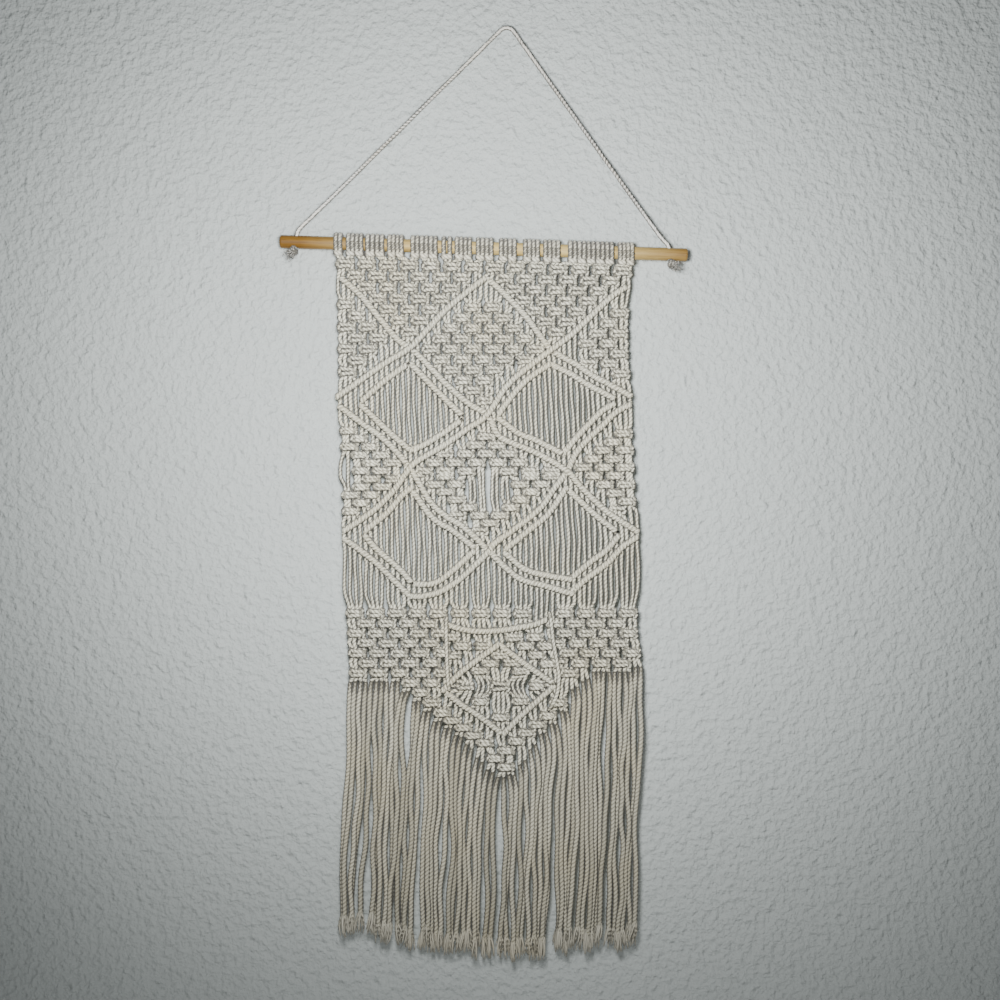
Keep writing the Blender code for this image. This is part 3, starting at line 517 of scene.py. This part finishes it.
def bar_way(index):
    """A bar's middle as fine places, which dip where it passes behind an earlier one."""
    line = BARS[index]
    passed = [Vector(p) for other in BARS[:index] for p in other if p in line]
    fine = smooth([(a, d, BAR_OUT) for a, d in line], BAR_STEPS)
    for place in fine:
        near = min(((place.xy - p).length for p in passed), default=math.inf)
        place.z -= BAR_DIP * math.exp(-(near / DIP_REACH) ** 2)
    return fine


def crossings(ways):
    """The places where each strand crosses bars."""
    found = [[] for _ in range(STRANDS)]
    for way in ways:
        for start, end in zip(way, way[1:]):
            s0, s1 = counted(start.x, start.y) - 0.5, counted(end.x, end.y) - 0.5
            low, high = sorted((s0, s1))
            for strand in range(max(0, math.ceil(low)), min(STRANDS - 1, math.floor(high)) + 1):
                place = start.lerp(end, (strand - s0) / (s1 - s0)) if high > low else start
                if all(abs(place.y - other.y) > HITCH_APART for other in found[strand]):
                    found[strand].append(place)
    return found


def pairs_of_turns(way):
    """Where the strands' pairs of turns sit along a bar: (place, the bar's direction)."""
    gone, due = 0.0, WRAP_PITCH
    for start, end in zip(way, way[1:]):
        long = (end - start).length
        while due <= gone + long:
            yield start.lerp(end, (due - gone) / long), (end - start).xy.normalized()
            due += 2 * WRAP_PITCH
        gone += long


def wound(place, way):
    """A strand's two turns round a bar, as (across, drop, out) places."""
    if way.x < 0:
        way = -way
    down = Vector((-way.y, way.x))
    reach = WRAP_REACH * uneven(0.97, 1.03)
    tip = uneven(-0.15, 0.15)
    middle = 2.5 * math.pi
    inner = way * WRAP_PITCH * 0.7
    places = [(place.x - inner.x, place.y - inner.y, place.z)]
    for step in range(2 * WRAP_STEPS + 1):
        turn = math.pi / 2 + math.tau * step / WRAP_STEPS
        along = WRAP_PITCH * (turn - middle - WRAP_SQUARE * math.cos(turn)) / math.tau
        spot = (place.xy + way * (along + tip * math.cos(turn))
                - down * reach * math.cos(turn))
        places.append((spot.x, spot.y, place.z - reach * math.sin(turn)))
    places.append((place.x + inner.x, place.y + inner.y, place.z))
    return places


def in_window(across, drop):
    top, foot = WINDOW["top"], WINDOW["foot"]
    return (top[0][0] < across < top[-1][0]
            and between(top, across) - WINDOW_CLEAR < drop < between(foot, across) + WINDOW_CLEAR)


def has_room(field, across, drop):
    """Whether a knot fits at a place: in its field, and off bars, hem, window and bare parts."""
    (a0, a1), (d0, d1) = field.get("bare", ((0, 0), (0, 0)))
    return (inside(field["within"], across, drop)
            and min(distance(across, drop, line) for line in BARS) >= BAR_CLEAR
            and drop <= between(HEM, across) - HEM_CLEAR
            and not in_window(across, drop)
            and not (a0 < across < a1 and d0 < drop < d1)
            and not (field.get("round_rosette") and inside(ROSETTE["bare"], across, drop)))


def knots():
    """Every square knot: (the gap it is centred on, drop, height)."""
    found = []
    for field in FIELDS:
        first, last = field.get("first_gap", 2), field.get("last_gap", 54)
        for row in range(field["rows"]):
            for gap in range((field["first"] + 2 * row) % 4, STRANDS - 1, 4):
                drop = field["top"] + field["pitch"] * row
                across = lattice(gap, drop)
                if field.get("sloping"):
                    drop += (TOP_SLOPE - TOP_SLOPE_LESS * row) * (across - EDGES[0][1])
                if first <= gap <= last and has_room(field, across, drop):
                    found.append((gap, drop, field["pitch"]))
    found += [(gap, drop, TIP_TALL) for gap, drop in TIP_KNOTS]
    found.append((ROSETTE["gap"], ROSETTE["drop"], ROSETTE_TALL))
    return sorted(found, key=lambda knot: knot[1])


def drawn(place, lines):
    """A place, brought near the cloth's own plane where a bar passes."""
    across, drop, out = place
    near = min((distance(across, drop, line) for line in lines), default=math.inf)
    if near >= DRAWN_FAR:
        return place
    free = max(near - DRAWN_NEAR, 0.0) / (DRAWN_FAR - DRAWN_NEAR)
    limit = DRAWN_OUT + DRAWN_RISE * free
    return across, drop, min(max(out, -limit), limit)


def worked(crossed):
    """What happens on each strand on its way down: (middle drop, is a hitch, places, girth)."""
    events = [[(p.y, True, [(p.x, p.y + v, DRAWN_OUT) for v in (-PASS_REACH, 0.0, PASS_REACH)],
                1.0) for p in places] for places in crossed]
    for gap, drop, tall in knots():
        middle = drawn_in(lattice(gap, drop), drop) + uneven(-0.35, 0.35)
        level = drop + uneven(-0.3, 0.3)
        size = KNOT_SPREAD * uneven(0.95, 1.03)
        if tall == ROSETTE_TALL:
            size *= ROSETTE_WIDER
        lines = [line for line in BARS if distance(middle, level, line) < 2 * KNOT_TALL]
        ways = [LEFT_WORKER, *FILLERS, RIGHT_WORKER]
        for strand, way in zip(range(gap - 2, gap + 2), ways):
            places = [drawn((middle + u * size, level + (v / KNOT_TALL - 0.5) * tall, w), lines)
                      for u, v, w in way]
            events[strand].append((drop, False, places, KNOT_GIRTH))
    for line in events:
        line.sort(key=lambda event: event[0])
    return events


HITCH_CLEAR = 0.8             # from a hitch's end to the nearest place of a knot
# A free stretch: how long it is at least, how far apart its places are, and how it sways.
FREE_FROM, FREE_STEP = 9.0, 7.0
ASIDE_SWAY, ASIDE_RATE = 0.45, 0.11
OUT_SWAY, OUT_RATE = 0.5, 0.07


def trimmed(before, after):
    """Two events that follow each other on a strand, without the places where they overlap."""
    (_, first_hitch, first, _), (_, then_hitch, then, _) = before, after
    limit = (first[-1][1] + then[0][1]) / 2
    if first_hitch and not then_hitch:
        limit = first[-1][1] + HITCH_CLEAR
    if then_hitch and not first_hitch:
        limit = then[0][1] - HITCH_CLEAR
    if not first_hitch:
        while len(first) > 3 and first[-1][1] > limit:
            first.pop()
    if not then_hitch:
        while len(then) > 3 and then[0][1] < limit:
            then.pop(0)


def free_run(strand, start, end, wave):
    """Places on a strand between two events, a little uneven."""
    (a0, d0, _), (a1, d1, _) = start, end
    long = d1 - d0
    count = int(long / FREE_STEP)
    places = []
    for i in range(1, count + 1):
        t = i / (count + 1)
        drop = d0 + long * t
        across = lattice(strand + 0.5, drop)
        blend = min(1.0, 4.0 * t, 4.0 * (1 - t))
        across = (a0 + (a1 - a0) * t) * (1 - blend) + across * blend
        for middle, level, tall, wide in SLITS:
            off = across - middle
            shut = abs(off) / SLIT_FADE + ((drop - level) / tall) ** 2
            across += math.copysign(wide * math.exp(-shut), off)
        across = drawn_in(across, drop) + ASIDE_SWAY * math.sin(wave + drop * ASIDE_RATE)
        places.append((across, drop, OUT_SWAY * math.sin(2.0 * wave + drop * OUT_RATE)))
    return places


# ---- heads, fringe, whole strands
def head_places():
    """Middle and width of each lark's head on the dowel."""
    for start, end, heads in HEAD_GROUPS:
        pitch = (end - start) / heads
        for head in range(heads):
            yield start + pitch * (head + 0.5), pitch


def head_route(middle, pitch):
    drop = dowel_drop(middle)
    left, right = middle - pitch / 4, middle + pitch / 4
    up = [(left, drop + v, w) for v, w in HEAD_TURN]
    over = [(left + (right - left) * t, drop + BIGHT[0], BIGHT[1]) for t in (-0.25, 0.5, 1.25)]
    down = [(right, drop + v, w) for v, w in reversed(HEAD_TURN)]
    return up + over + down


# Fringe: where the strands end, and where they hang close or apart.
FRINGE_ENDS = [
    (-169, 910), (-137, 908), (-107, 916), (-77, 921), (-47, 926), (-17, 928), (13, 932),
    (43, 930), (73, 920), (98, 921), (127, 918),
]
BRUSH = 17.0                  # the last of each strand, where its yarns have come apart
FRINGE_RADIUS = 3.15          # out of the knots a cord loosens, a little more at each ring
LOOSENS = 0.02
# Where the wall shows between strands: across, drop, half its height, half its width.
PARTINGS = [
    (-100, 700, 42, 2.8), (-98, 868, 36, 3.0), (-139, 868, 28, 2.8), (98, 700, 60, 2.2),
    (101, 830, 80, 2.4), (-12, 812, 50, 1.6), (-66, 800, 40, 1.2), (52, 842, 50, 1.6),
]
PART_FADE = 9.0               # how fast the strands beside a parting close up again
ASIDE, FALL = 4.0, 11.0       # a strand leaves its last knot sideways, and then bends down
FLARE = 3.0                   # how much further left the first strand's end hangs
LAYERS, LAYER_FALL = (-2.6, 0.4, 3.0), 25.0   # how far out, and the fall it takes to get there
SWAY_FALL = 40.0              # the fall in which a strand's swaying grows to the full
FALL_STEP = 9.0


def fringe_route(strand, start):
    """The free end of a strand: out from the hem, then plumb, swaying in one of three layers."""
    across, drop, _ = start
    end = between(FRINGE_ENDS, across) - BRUSH + uneven(-5.0, 4.0)
    flare = FLARE * (1 - (strand + 0.5) / STRANDS)
    plumb = across - math.tan(LEAN) * (end - drop) - flare
    slope = (between(HEM, across + 4.0) - between(HEM, across - 4.0)) / 8.0
    aside = -ASIDE * math.tanh(slope)
    layer = LAYERS[strand * 5 % 3] + uneven(-0.7, 0.7)
    partings = []
    for middle, level, tall, wide in PARTINGS:
        off = across + (plumb - across) * (level - drop) / (end - drop) + aside - middle
        push = math.copysign(wide * math.exp(-abs(off) / PART_FADE), off)
        partings.append((level, tall, push))
    # Neighbours sway nearly together, so that they bunch, and here and there one wanders off.
    long_wave, short_wave = 0.4 * strand + uneven(-0.3, 0.3), uneven(0, math.tau)
    long_sway, short_sway = uneven(1.1, 1.9), uneven(0.3, 0.9)
    long_reach, short_reach = 27.0 + 4.0 * math.sin(0.3 * strand), uneven(8, 13)
    wander = uneven(-4.5, 4.5) if RANDOM.random() < 0.25 else 0.0
    places = []
    count = max(4, int((end - drop) / FALL_STEP))
    for i in range(1, count + 1):
        t = i / count
        down = drop + (end - drop) * t
        fall = down - drop
        loose = min(1.0, fall / SWAY_FALL)
        place = across + (plumb - across) * t + aside * (1.0 - math.exp(-fall / FALL))
        place += sum(push * math.exp(-((down - level) / tall) ** 2)
                     for level, tall, push in partings)
        place += loose * (long_sway * math.sin(long_wave + down / long_reach)
                          + short_sway * math.sin(short_wave + fall / short_reach))
        place += wander * t * t * (3.0 - 2.0 * t)
        out = layer * min(1.0, fall / LAYER_FALL)
        out += 0.6 * loose * math.sin(long_wave + fall / 21.0)
        places.append((place, down, out))
    return places


def strand_route(strand, events, head):
    """A strand from its head to its last knot or hitch: (across, drop, out, girth) places."""
    middle, pitch = head
    across = middle + pitch * (0.25 if strand % 2 else -0.25)
    top = dowel_drop(middle) + HEAD_TURN[0][0]
    places = [(across, top, HEAD_TURN[0][1], 1.0)]
    wave = uneven(0, math.tau)
    for before, after in zip(events, events[1:]):
        trimmed(before, after)
    for _, _, turns, girth in events:
        while len(turns) > 3 and turns[0][1] < top + 0.5:
            turns.pop(0)
        long = turns[0][1] - places[-1][1]
        if long > FREE_FROM:
            slim = SLIM_GIRTH if long > SLIM_FROM else 1.0
            places += [(*p, slim) for p in free_run(strand, places[-1][:3], turns[0], wave)]
        places += [(*p, girth) for p in turns]
    return places


PER_SPAN = 7                  # points of a smooth way for each stretch between two places


def resampled(places, step=RING_STEP):
    """Even steps along the smooth way through places: points in metres, and girths."""
    fine = smooth([(a, d, w) for a, d, w, _ in places], PER_SPAN)
    girths = [g for _, _, _, g in places for _ in range(PER_SPAN)][PER_SPAN // 2:]
    girths += [places[-1][3]] * (PER_SPAN - PER_SPAN // 2)
    points, kept, last = [hung(*fine[0])], [girths[0]], fine[0]
    for place, girth in zip(fine[1:], girths[1:]):
        if (place - last).length >= step:
            points.append(hung(*place))
            kept.append(kept[-1] + (girth - kept[-1]) * 0.5)
            last = place
    points.append(hung(*fine[-1]))
    kept.append(girths[-1])
    if (points[-1] - points[-2]).length < 0.4 * MM and len(points) > 2:
        del points[-2], kept[-2]
    return points, kept


bar_ways = [bar_way(index) for index in range(len(BARS))]
all_events = worked(crossings(bar_ways))
heads = list(head_places())
shades = [uneven(0.3, 0.7) for _ in range(STRANDS)]
tilts = [uneven(0.0, math.tau) for _ in range(STRANDS)]
panel_runs, fringe_runs, brush_runs = [], [], []
for strand in range(STRANDS):
    way = strand_route(strand, all_events[strand], heads[strand // 2])
    last = way[-1]
    foot = (lattice(strand + 0.5, last[1] + 6.0),
            max(last[1] + 4.0, between(HEM, last[0]) - 1.0), 0.0)
    if foot[1] - last[1] > 12.0:
        way += [(*p, 1.0) for p in free_run(strand, last[:3], foot, tilts[strand])]
    way.append((*foot, 1.0))
    panel_runs.append((*resampled(way), shades[strand], tilts[strand]))
    tail = [foot] + fringe_route(strand, foot)
    points, _ = resampled([(*p, 1.0) for p in tail])
    girths = [min(1.0, CORD_RADIUS / FRINGE_RADIUS + LOOSENS * i) for i in range(len(points))]
    fringe_runs.append((points, girths, uneven(0.1, 0.85), tilts[strand]))
    tip = points[-1] + (points[-1] - points[-4]).normalized() * BRUSH * MM
    tip += Vector((uneven(-2.5, 2.5), uneven(-1.5, 1.0), 0.0)) * MM
    brush_runs += brush(points[-1], tip, hairs=14, root=1.6, spread=uneven(3.2, 5.0),
                        start=-0.35)

head_runs = []
for middle, pitch in heads:
    points, _ = resampled([(*p, 1.0) for p in head_route(middle, pitch)])
    head_runs.append((points, [HEAD_GIRTH] * len(points), uneven(0.4, 0.8),
                      uneven(0, math.tau)))

quarter = STRANDS // 4
cords = [twisted(name, panel_runs[i * quarter:(i + 1) * quarter]) for i, name in enumerate(
    ("cords_far_left", "cords_left", "cords_right", "cords_far_right"))]
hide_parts("panel")
larks_heads = twisted("larks_heads", head_runs, sideways=[Vector((1, 0, 0))] * len(head_runs))
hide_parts("heading")
core_runs = []
for way in bar_ways:
    points = evenly([hung(*p) for p in way], 3.0 * MM)
    core_runs.append((points, [BAR_GIRTH] * len(points), 0.5, 0.0))
bar_cores = twisted("bar_cores", core_runs)
hitch_runs, off_bar = [], []
for bar in bar_ways:
    for place, way in pairs_of_turns(bar):
        points, girths = resampled([(*p, WRAP_GIRTH) for p in wound(place, way)], WRAP_STEP)
        hitch_runs.append((points, girths, uneven(0.4, 0.75), uneven(0, math.tau)))
        off_bar.append((hung(-way.y, way.x) - hung(0.0, 0.0)).normalized())
half = len(hitch_runs) // 2
bar_hitches = [twisted("bar_hitches_upper", hitch_runs[:half], sideways=off_bar[:half]),
               twisted("bar_hitches_lower", hitch_runs[half:], sideways=off_bar[half:])]
fringe_left = twisted("fringe_left", fringe_runs[:STRANDS // 2], radius=FRINGE_RADIUS)
fringe_right = twisted("fringe_right", fringe_runs[STRANDS // 2:], radius=FRINGE_RADIUS)
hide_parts("fringe")
fringe_brushes = twisted("fringe_brushes", brush_runs, radius=1.05, turn=6.0, deeper=1.5)
LOOSE = [
    [(-60.0, 588.0, 2.0), (-60.5, 594.0, 6.0), (-60.5, 604.0, 7.4), (-60.0, 622.0, 6.8),
     (-59.5, 640.0, 6.6), (-58.5, 655.0, 6.2), (-57.5, 662.0, 3.0)],
    [(42.0, 584.0, 2.0), (43.5, 592.0, 6.4), (46.0, 612.0, 6.8), (49.5, 632.0, 6.6),
     (51.6, 648.0, 6.8), (50.0, 664.0, 6.4), (45.0, 676.0, 5.2), (41.0, 682.0, 1.0)],
]
loose_runs = []
for line in LOOSE:
    points, girths = resampled([(*p, 1.0) for p in line])
    loose_runs.append((points, girths, 0.55, 0.3))
loose_cords = twisted("loose_cords", loose_runs)


# ---- finishes
def fed(tree, inlet, value):
    """Gives an inlet its own value, or a link where the value is another node's outlet."""
    if isinstance(value, bpy.types.NodeSocket):
        tree.links.new(value, inlet)
    else:
        inlet.default_value = value


def set_up(tree, made, **settings):
    """Each setting is a property of the node, or else what feeds its inlet of that name."""
    for name, value in settings.items():
        if name in made.bl_rna.properties:
            setattr(made, name, value)
        else:
            fed(tree, made.inputs[name.replace("_", " ")], value)
    return made


def node(tree, kind, outlet, **settings):
    """A new node, as the outlet of it that is used."""
    return set_up(tree, tree.nodes.new(kind), **settings).outputs[outlet]


def object_place(tree):
    return node(tree, "ShaderNodeTexCoord", "Object")


def noise(tree, place, scale, detail, roughness, distortion=0.0):
    return node(tree, "ShaderNodeTexNoise", "Fac", Vector=place, Scale=scale, Detail=detail,
                Roughness=roughness, Distortion=distortion)


def maths(tree, operation, *values):
    made = set_up(tree, tree.nodes.new("ShaderNodeMath"), operation=operation)
    for inlet, value in zip(made.inputs, values):
        fed(tree, inlet, value)
    return made.outputs["Value"]


def ranged(tree, value, low, high, to_low=0.0, to_high=1.0, **settings):
    return node(tree, "ShaderNodeMapRange", "Result", Value=value, From_Min=low, From_Max=high,
                To_Min=to_low, To_Max=to_high, **settings)


def mixed(tree, blend, factor, one, other):
    return node(tree, "ShaderNodeMix", "Result", data_type="RGBA", blend_type=blend,
                Factor=factor, A=one, B=other)


def bumped(tree, height, strength, depth):
    return node(tree, "ShaderNodeBump", "Normal", Height=height, Strength=strength,
                Distance=depth)


def ramp(tree, value, stops):
    made = set_up(tree, tree.nodes.new("ShaderNodeValToRGB"), Fac=value)
    band = made.color_ramp
    while len(band.elements) < len(stops):
        band.elements.new(0.5)
    for element, (place, colour) in zip(band.elements, stops):
        element.position = place
        element.color = (*colour, 1.0)
    return made.outputs["Color"]


def finish(name):
    """A new material, its node tree and its shader."""
    made = bpy.data.materials.new(name)
    made.use_nodes = True
    return made, made.node_tree, made.node_tree.nodes["Principled BSDF"]


CREVICE = (0.10, 0.52)        # flank: no painted shade, and all of it
# The dark colour that the cords' crevices are painted towards, as painted shade.
CREVICE_SHADE_COLOUR = (0.07, 0.065, 0.05)
YARN_SOCKETS = [
    ("Light", "INPUT", "Color"), ("Dark", "INPUT", "Color"), ("Valley", "INPUT", "Color"),
    ("Fuzz", "INPUT", "Float"), ("Crevice", "INPUT", "Float"), ("Colour", "OUTPUT", "Color"),
    ("Roughness", "OUTPUT", "Float"), ("Normal", "OUTPUT", "Vector"),
]


def spun_cotton():
    """Colour, roughness and normal of twisted cotton, from its way, crowns, flanks and shade;
    painted shade in its grooves.
    """
    group = bpy.data.node_groups.new("spun_cotton", "ShaderNodeTree")
    for label, side, kind in YARN_SOCKETS:
        group.interface.new_socket(label, in_out=side, socket_type="NodeSocket" + kind)
    inlet = group.nodes.new("NodeGroupInput").outputs
    outlet = group.nodes.new("NodeGroupOutput")
    place = object_place(group)
    way = node(group, "ShaderNodeUVMap", "UV", uv_map="cord_way")
    shade, crown, flank = (node(group, "ShaderNodeAttribute", "Fac", attribute_name=label)
                           for label in ("shade", "crown", "flank"))
    # Fibres: fine streaks that run along each ply.
    stretch = node(group, "ShaderNodeMapping", "Vector", Vector=way, Scale=(3.0, 34.0, 1.0))
    fibres = noise(group, stretch, 1.0, 4.0, 0.6)
    # Fuzz: small uneven spots of loose lint.
    lint = noise(group, place, 1400.0, 3.0, 0.65)
    # Patches: the whole hanging is a little warmer here and there.
    patches = noise(group, place, 14.0, 2.0, 0.5)
    warm = ramp(group, patches, [(0.42, (1.0, 1.0, 1.0)), (0.68, (1.0, 0.965, 0.90))])
    tone = ranged(group, maths(group, "MULTIPLY_ADD", fibres, 0.55, shade), 0.35, 1.15)
    body = mixed(group, "MIX", tone, inlet["Dark"], inlet["Light"])
    # Painted shade: the grooves between the plies are darkened towards the valley colour.
    low = ranged(group, crown, 0.0, 0.6, 0.9, 0.0)
    valley_shaded = mixed(group, "MIX", low, body, inlet["Valley"])
    tinted = mixed(group, "MULTIPLY", 1.0, valley_shaded, warm)
    # Painted shade in the crevices: where a strand faces its neighbours, it is darkened as if
    # shaded.
    deep = ranged(group, flank, *CREVICE, interpolation_type="SMOOTHSTEP")
    painted_crevice_shade = maths(group, "MULTIPLY", deep, inlet["Crevice"])
    heights = maths(group, "MULTIPLY_ADD", lint, inlet["Fuzz"], fibres)
    set_up(group, outlet, Colour=mixed(group, "MIX", painted_crevice_shade, tinted, (*CREVICE_SHADE_COLOUR, 1.0)),
           Roughness=ranged(group, lint, 0.0, 1.0, 0.82, 0.98),
           Normal=bumped(group, heights, 0.55, 0.0006))
    return group


COTTON = spun_cotton()


def cotton(name, light, dark, valley_shade, fuzz, crevice_shade):
    """Light and dark tones, painted valley shade, lint, and how much painted shade the crevices
    get.
    """
    made, tree, shader = finish(name)
    yarn = set_up(tree, tree.nodes.new("ShaderNodeGroup"), node_tree=COTTON,
                  Light=(*light, 1.0), Dark=(*dark, 1.0), Valley=(*valley_shade, 1.0), Fuzz=fuzz,
                  Crevice=crevice_shade).outputs
    set_up(tree, shader, Sheen_Weight=0.25, Sheen_Roughness=0.6, Specular_IOR_Level=0.2,
           Base_Color=yarn["Colour"], Roughness=yarn["Roughness"], Normal=yarn["Normal"])
    return made


def dowel_grain():
    """Pale hardwood, turned and oiled, with its grain along the rod."""
    made, tree, shader = finish("dowel_wood_grain")
    place = object_place(tree)
    (a0, d0), (a1, d1) = DOWEL_ENDS
    lay = node(tree, "ShaderNodeMapping", "Vector", Vector=place, Scale=(14.0, 420.0, 420.0),
               Rotation=(0.0, LEAN - math.atan2(d1 - d0, a1 - a0), 0.0))
    grain = noise(tree, lay, 1.0, 6.0, 0.62, 0.3)
    close = node(tree, "ShaderNodeMapping", "Vector", Vector=place,
                 Scale=(90.0, 2400.0, 2400.0))
    pores = noise(tree, close, 1.0, 3.0, 0.5)
    bands = ramp(tree, grain, [(0.30, (0.10, 0.045, 0.006)), (0.50, (0.175, 0.086, 0.012)),
                               (0.72, (0.24, 0.130, 0.024))])
    # A lit copy of the grain's colours, for the painted light on the rod's middle.
    lit_bands = ramp(tree, grain, [(0.30, (0.42, 0.29, 0.095)), (0.55, (0.58, 0.44, 0.17)),
                                    (0.75, (0.66, 0.53, 0.225))])
    # Painted light: the rod's middle is paler and yellower, a pool of the lamp's light painted on
    # the grain, and it darkens towards its two ends.
    reach = ranged(tree, node(tree, "ShaderNodeSeparateXYZ", "X", Vector=place), -0.20, 0.19)
    painted_light_along_rod = ramp(tree, reach, [(0.0, (0.0, 0.0, 0.0)), (0.35, (1.0, 1.0, 1.0)),
                                   (0.78, (1.0, 1.0, 1.0)), (1.0, (0.10, 0.10, 0.10))])
    dark_pores = ramp(tree, pores, [(0.34, (0.72, 0.66, 0.60)), (0.46, (1.0, 1.0, 1.0))])
    wood = mixed(tree, "MIX", painted_light_along_rod, bands, lit_bands)
    set_up(tree, shader, Specular_IOR_Level=0.28,
           Base_Color=mixed(tree, "MULTIPLY", 0.8, wood, dark_pores),
           Roughness=ranged(tree, grain, 0.0, 1.0, 0.38, 0.6),
           Normal=bumped(tree, pores, 0.3, 0.0003))
    return made


# Each cotton: its slot, the pieces spun of it, and its looks in the order that cotton() has.
COTTONS = {
    "hanger_cotton_white": ("hanger_cotton", [hanger, *stoppers.values()], (0.97, 0.96, 0.91),
                            (0.90, 0.885, 0.83), (0.62, 0.61, 0.56), 0.5, 0.95),
    "cord_cotton": ("cotton_cord", [*cords, loose_cords], (0.97, 0.955, 0.79),
                    (0.79, 0.775, 0.625), (0.19, 0.18, 0.13), 0.7, 0.98),
    "bar_cotton": ("cotton_cord", [bar_cores, *bar_hitches], (0.89, 0.875, 0.72),
                   (0.74, 0.725, 0.585), (0.34, 0.325, 0.25), 0.7, 0.98),
    "head_cotton": ("cotton_cord", [larks_heads], (0.86, 0.84, 0.705),
                    (0.70, 0.68, 0.565), (0.30, 0.285, 0.225), 0.6, 0.97),
    # Painted shade: the fringe cotton is a darker copy of the cord cotton, for the shade among
    # its loose strands.
    "fringe_cotton_painted_shade": ("cotton_cord", [fringe_left, fringe_right], (0.69, 0.665, 0.535),
                      (0.47, 0.45, 0.35), (0.18, 0.17, 0.125), 0.8, 0.97),
    "frayed_cotton": ("cotton_cord", [fringe_brushes], (0.80, 0.775, 0.65),
                      (0.56, 0.54, 0.44), (0.38, 0.365, 0.29), 1.0, 0.35),
}
for name, (slot, pieces, *looks) in COTTONS.items():
    material = cotton(name, *looks)
    for piece in pieces:
        piece.data.materials.clear()
        piece.data.materials.append(material)
        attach(piece, "root")
for material_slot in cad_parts["dowel"].material_slots:
    material_slot.material = dowel_grain()


# ---- stage and lights
STAGE_REACH = 4.0
WALL_AT, FLOOR_AT = 0.011, -1.6


def stage_plane(name, matrix, colour):
    """A plain pale sheet behind or under the hanging, clear from behind and without a shadow."""
    bm = bmesh.new()
    bmesh.ops.create_grid(bm, x_segments=1, y_segments=1, size=STAGE_REACH)
    bmesh.ops.transform(bm, matrix=matrix, verts=bm.verts[:])
    mesh = bpy.data.meshes.new(name)
    bm.to_mesh(mesh)
    bm.free()
    paint, tree, shader = finish(name + "_paint")
    grain = noise(tree, object_place(tree), 150.0, 2.5, 0.5)
    tone = ramp(tree, grain, [(0.3, tuple(c * 0.97 for c in colour)), (0.7, colour)])
    set_up(tree, shader, Roughness=0.9, Specular_IOR_Level=0.1, Base_Color=tone,
           Normal=bumped(tree, grain, 0.9, 0.006))
    choose = tree.nodes.new("ShaderNodeMixShader")
    ways = (node(tree, "ShaderNodeNewGeometry", "Backfacing"), shader.outputs["BSDF"],
            node(tree, "ShaderNodeBsdfTransparent", "BSDF"))
    for inlet, way in zip(choose.inputs, ways):
        tree.links.new(way, inlet)
    set_up(tree, tree.nodes["Material Output"], Surface=choose.outputs["Shader"])
    mesh.materials.append(paint)
    made = placed(name, mesh)
    made.visible_shadow = False


stage_plane("backdrop", Matrix.Translation((0.0, WALL_AT, -0.3))
            @ Matrix.Rotation(math.radians(90), 4, "X"), (0.555, 0.602, 0.593))
stage_plane("floor", Matrix.Translation((0.0, 0.0, FLOOR_AT)), (0.72, 0.72, 0.71))


def lamp(name, kind, place, towards, energy, size, colour):
    """A soft round lamp: a disk, or a wide spot whose light fades all the way to its edge."""
    data = bpy.data.lights.new(name, kind)
    data.energy = energy
    data.color = colour
    if kind == "AREA":
        data.shape = "DISK"
        data.size = size
    else:
        data.shadow_soft_size = size
        data.spot_size = math.radians(108)
        data.spot_blend = 1.0
    made = placed(name, data)
    made.location = place
    made.rotation_euler = (Vector(towards) - Vector(place)).to_track_quat("-Z", "Y").to_euler()


MIDDLE = hung(-10.0, 300.0)
lamp("key_light", "SPOT", (-0.05, -0.76, -0.345), MIDDLE, 49.5, 0.075, (1.0, 0.995, 0.985))
lamp("fill_light", "AREA", (0.1, -1.6, -1.35), hung(-10.0, 900.0), 5.7, 1.2, (1.0, 0.99, 0.98))
lamp("rear_light", "AREA", (0.1, 2.0, -0.2), MIDDLE, 14.0, 1.0, (1.0, 1.0, 1.0))
world = bpy.data.worlds.new("studio")
world.use_nodes = True
set_up(world.node_tree, world.node_tree.nodes["Background"], Color=(0.95, 0.97, 1.0, 1.0),
       Strength=0.08)
bpy.context.scene.world = world
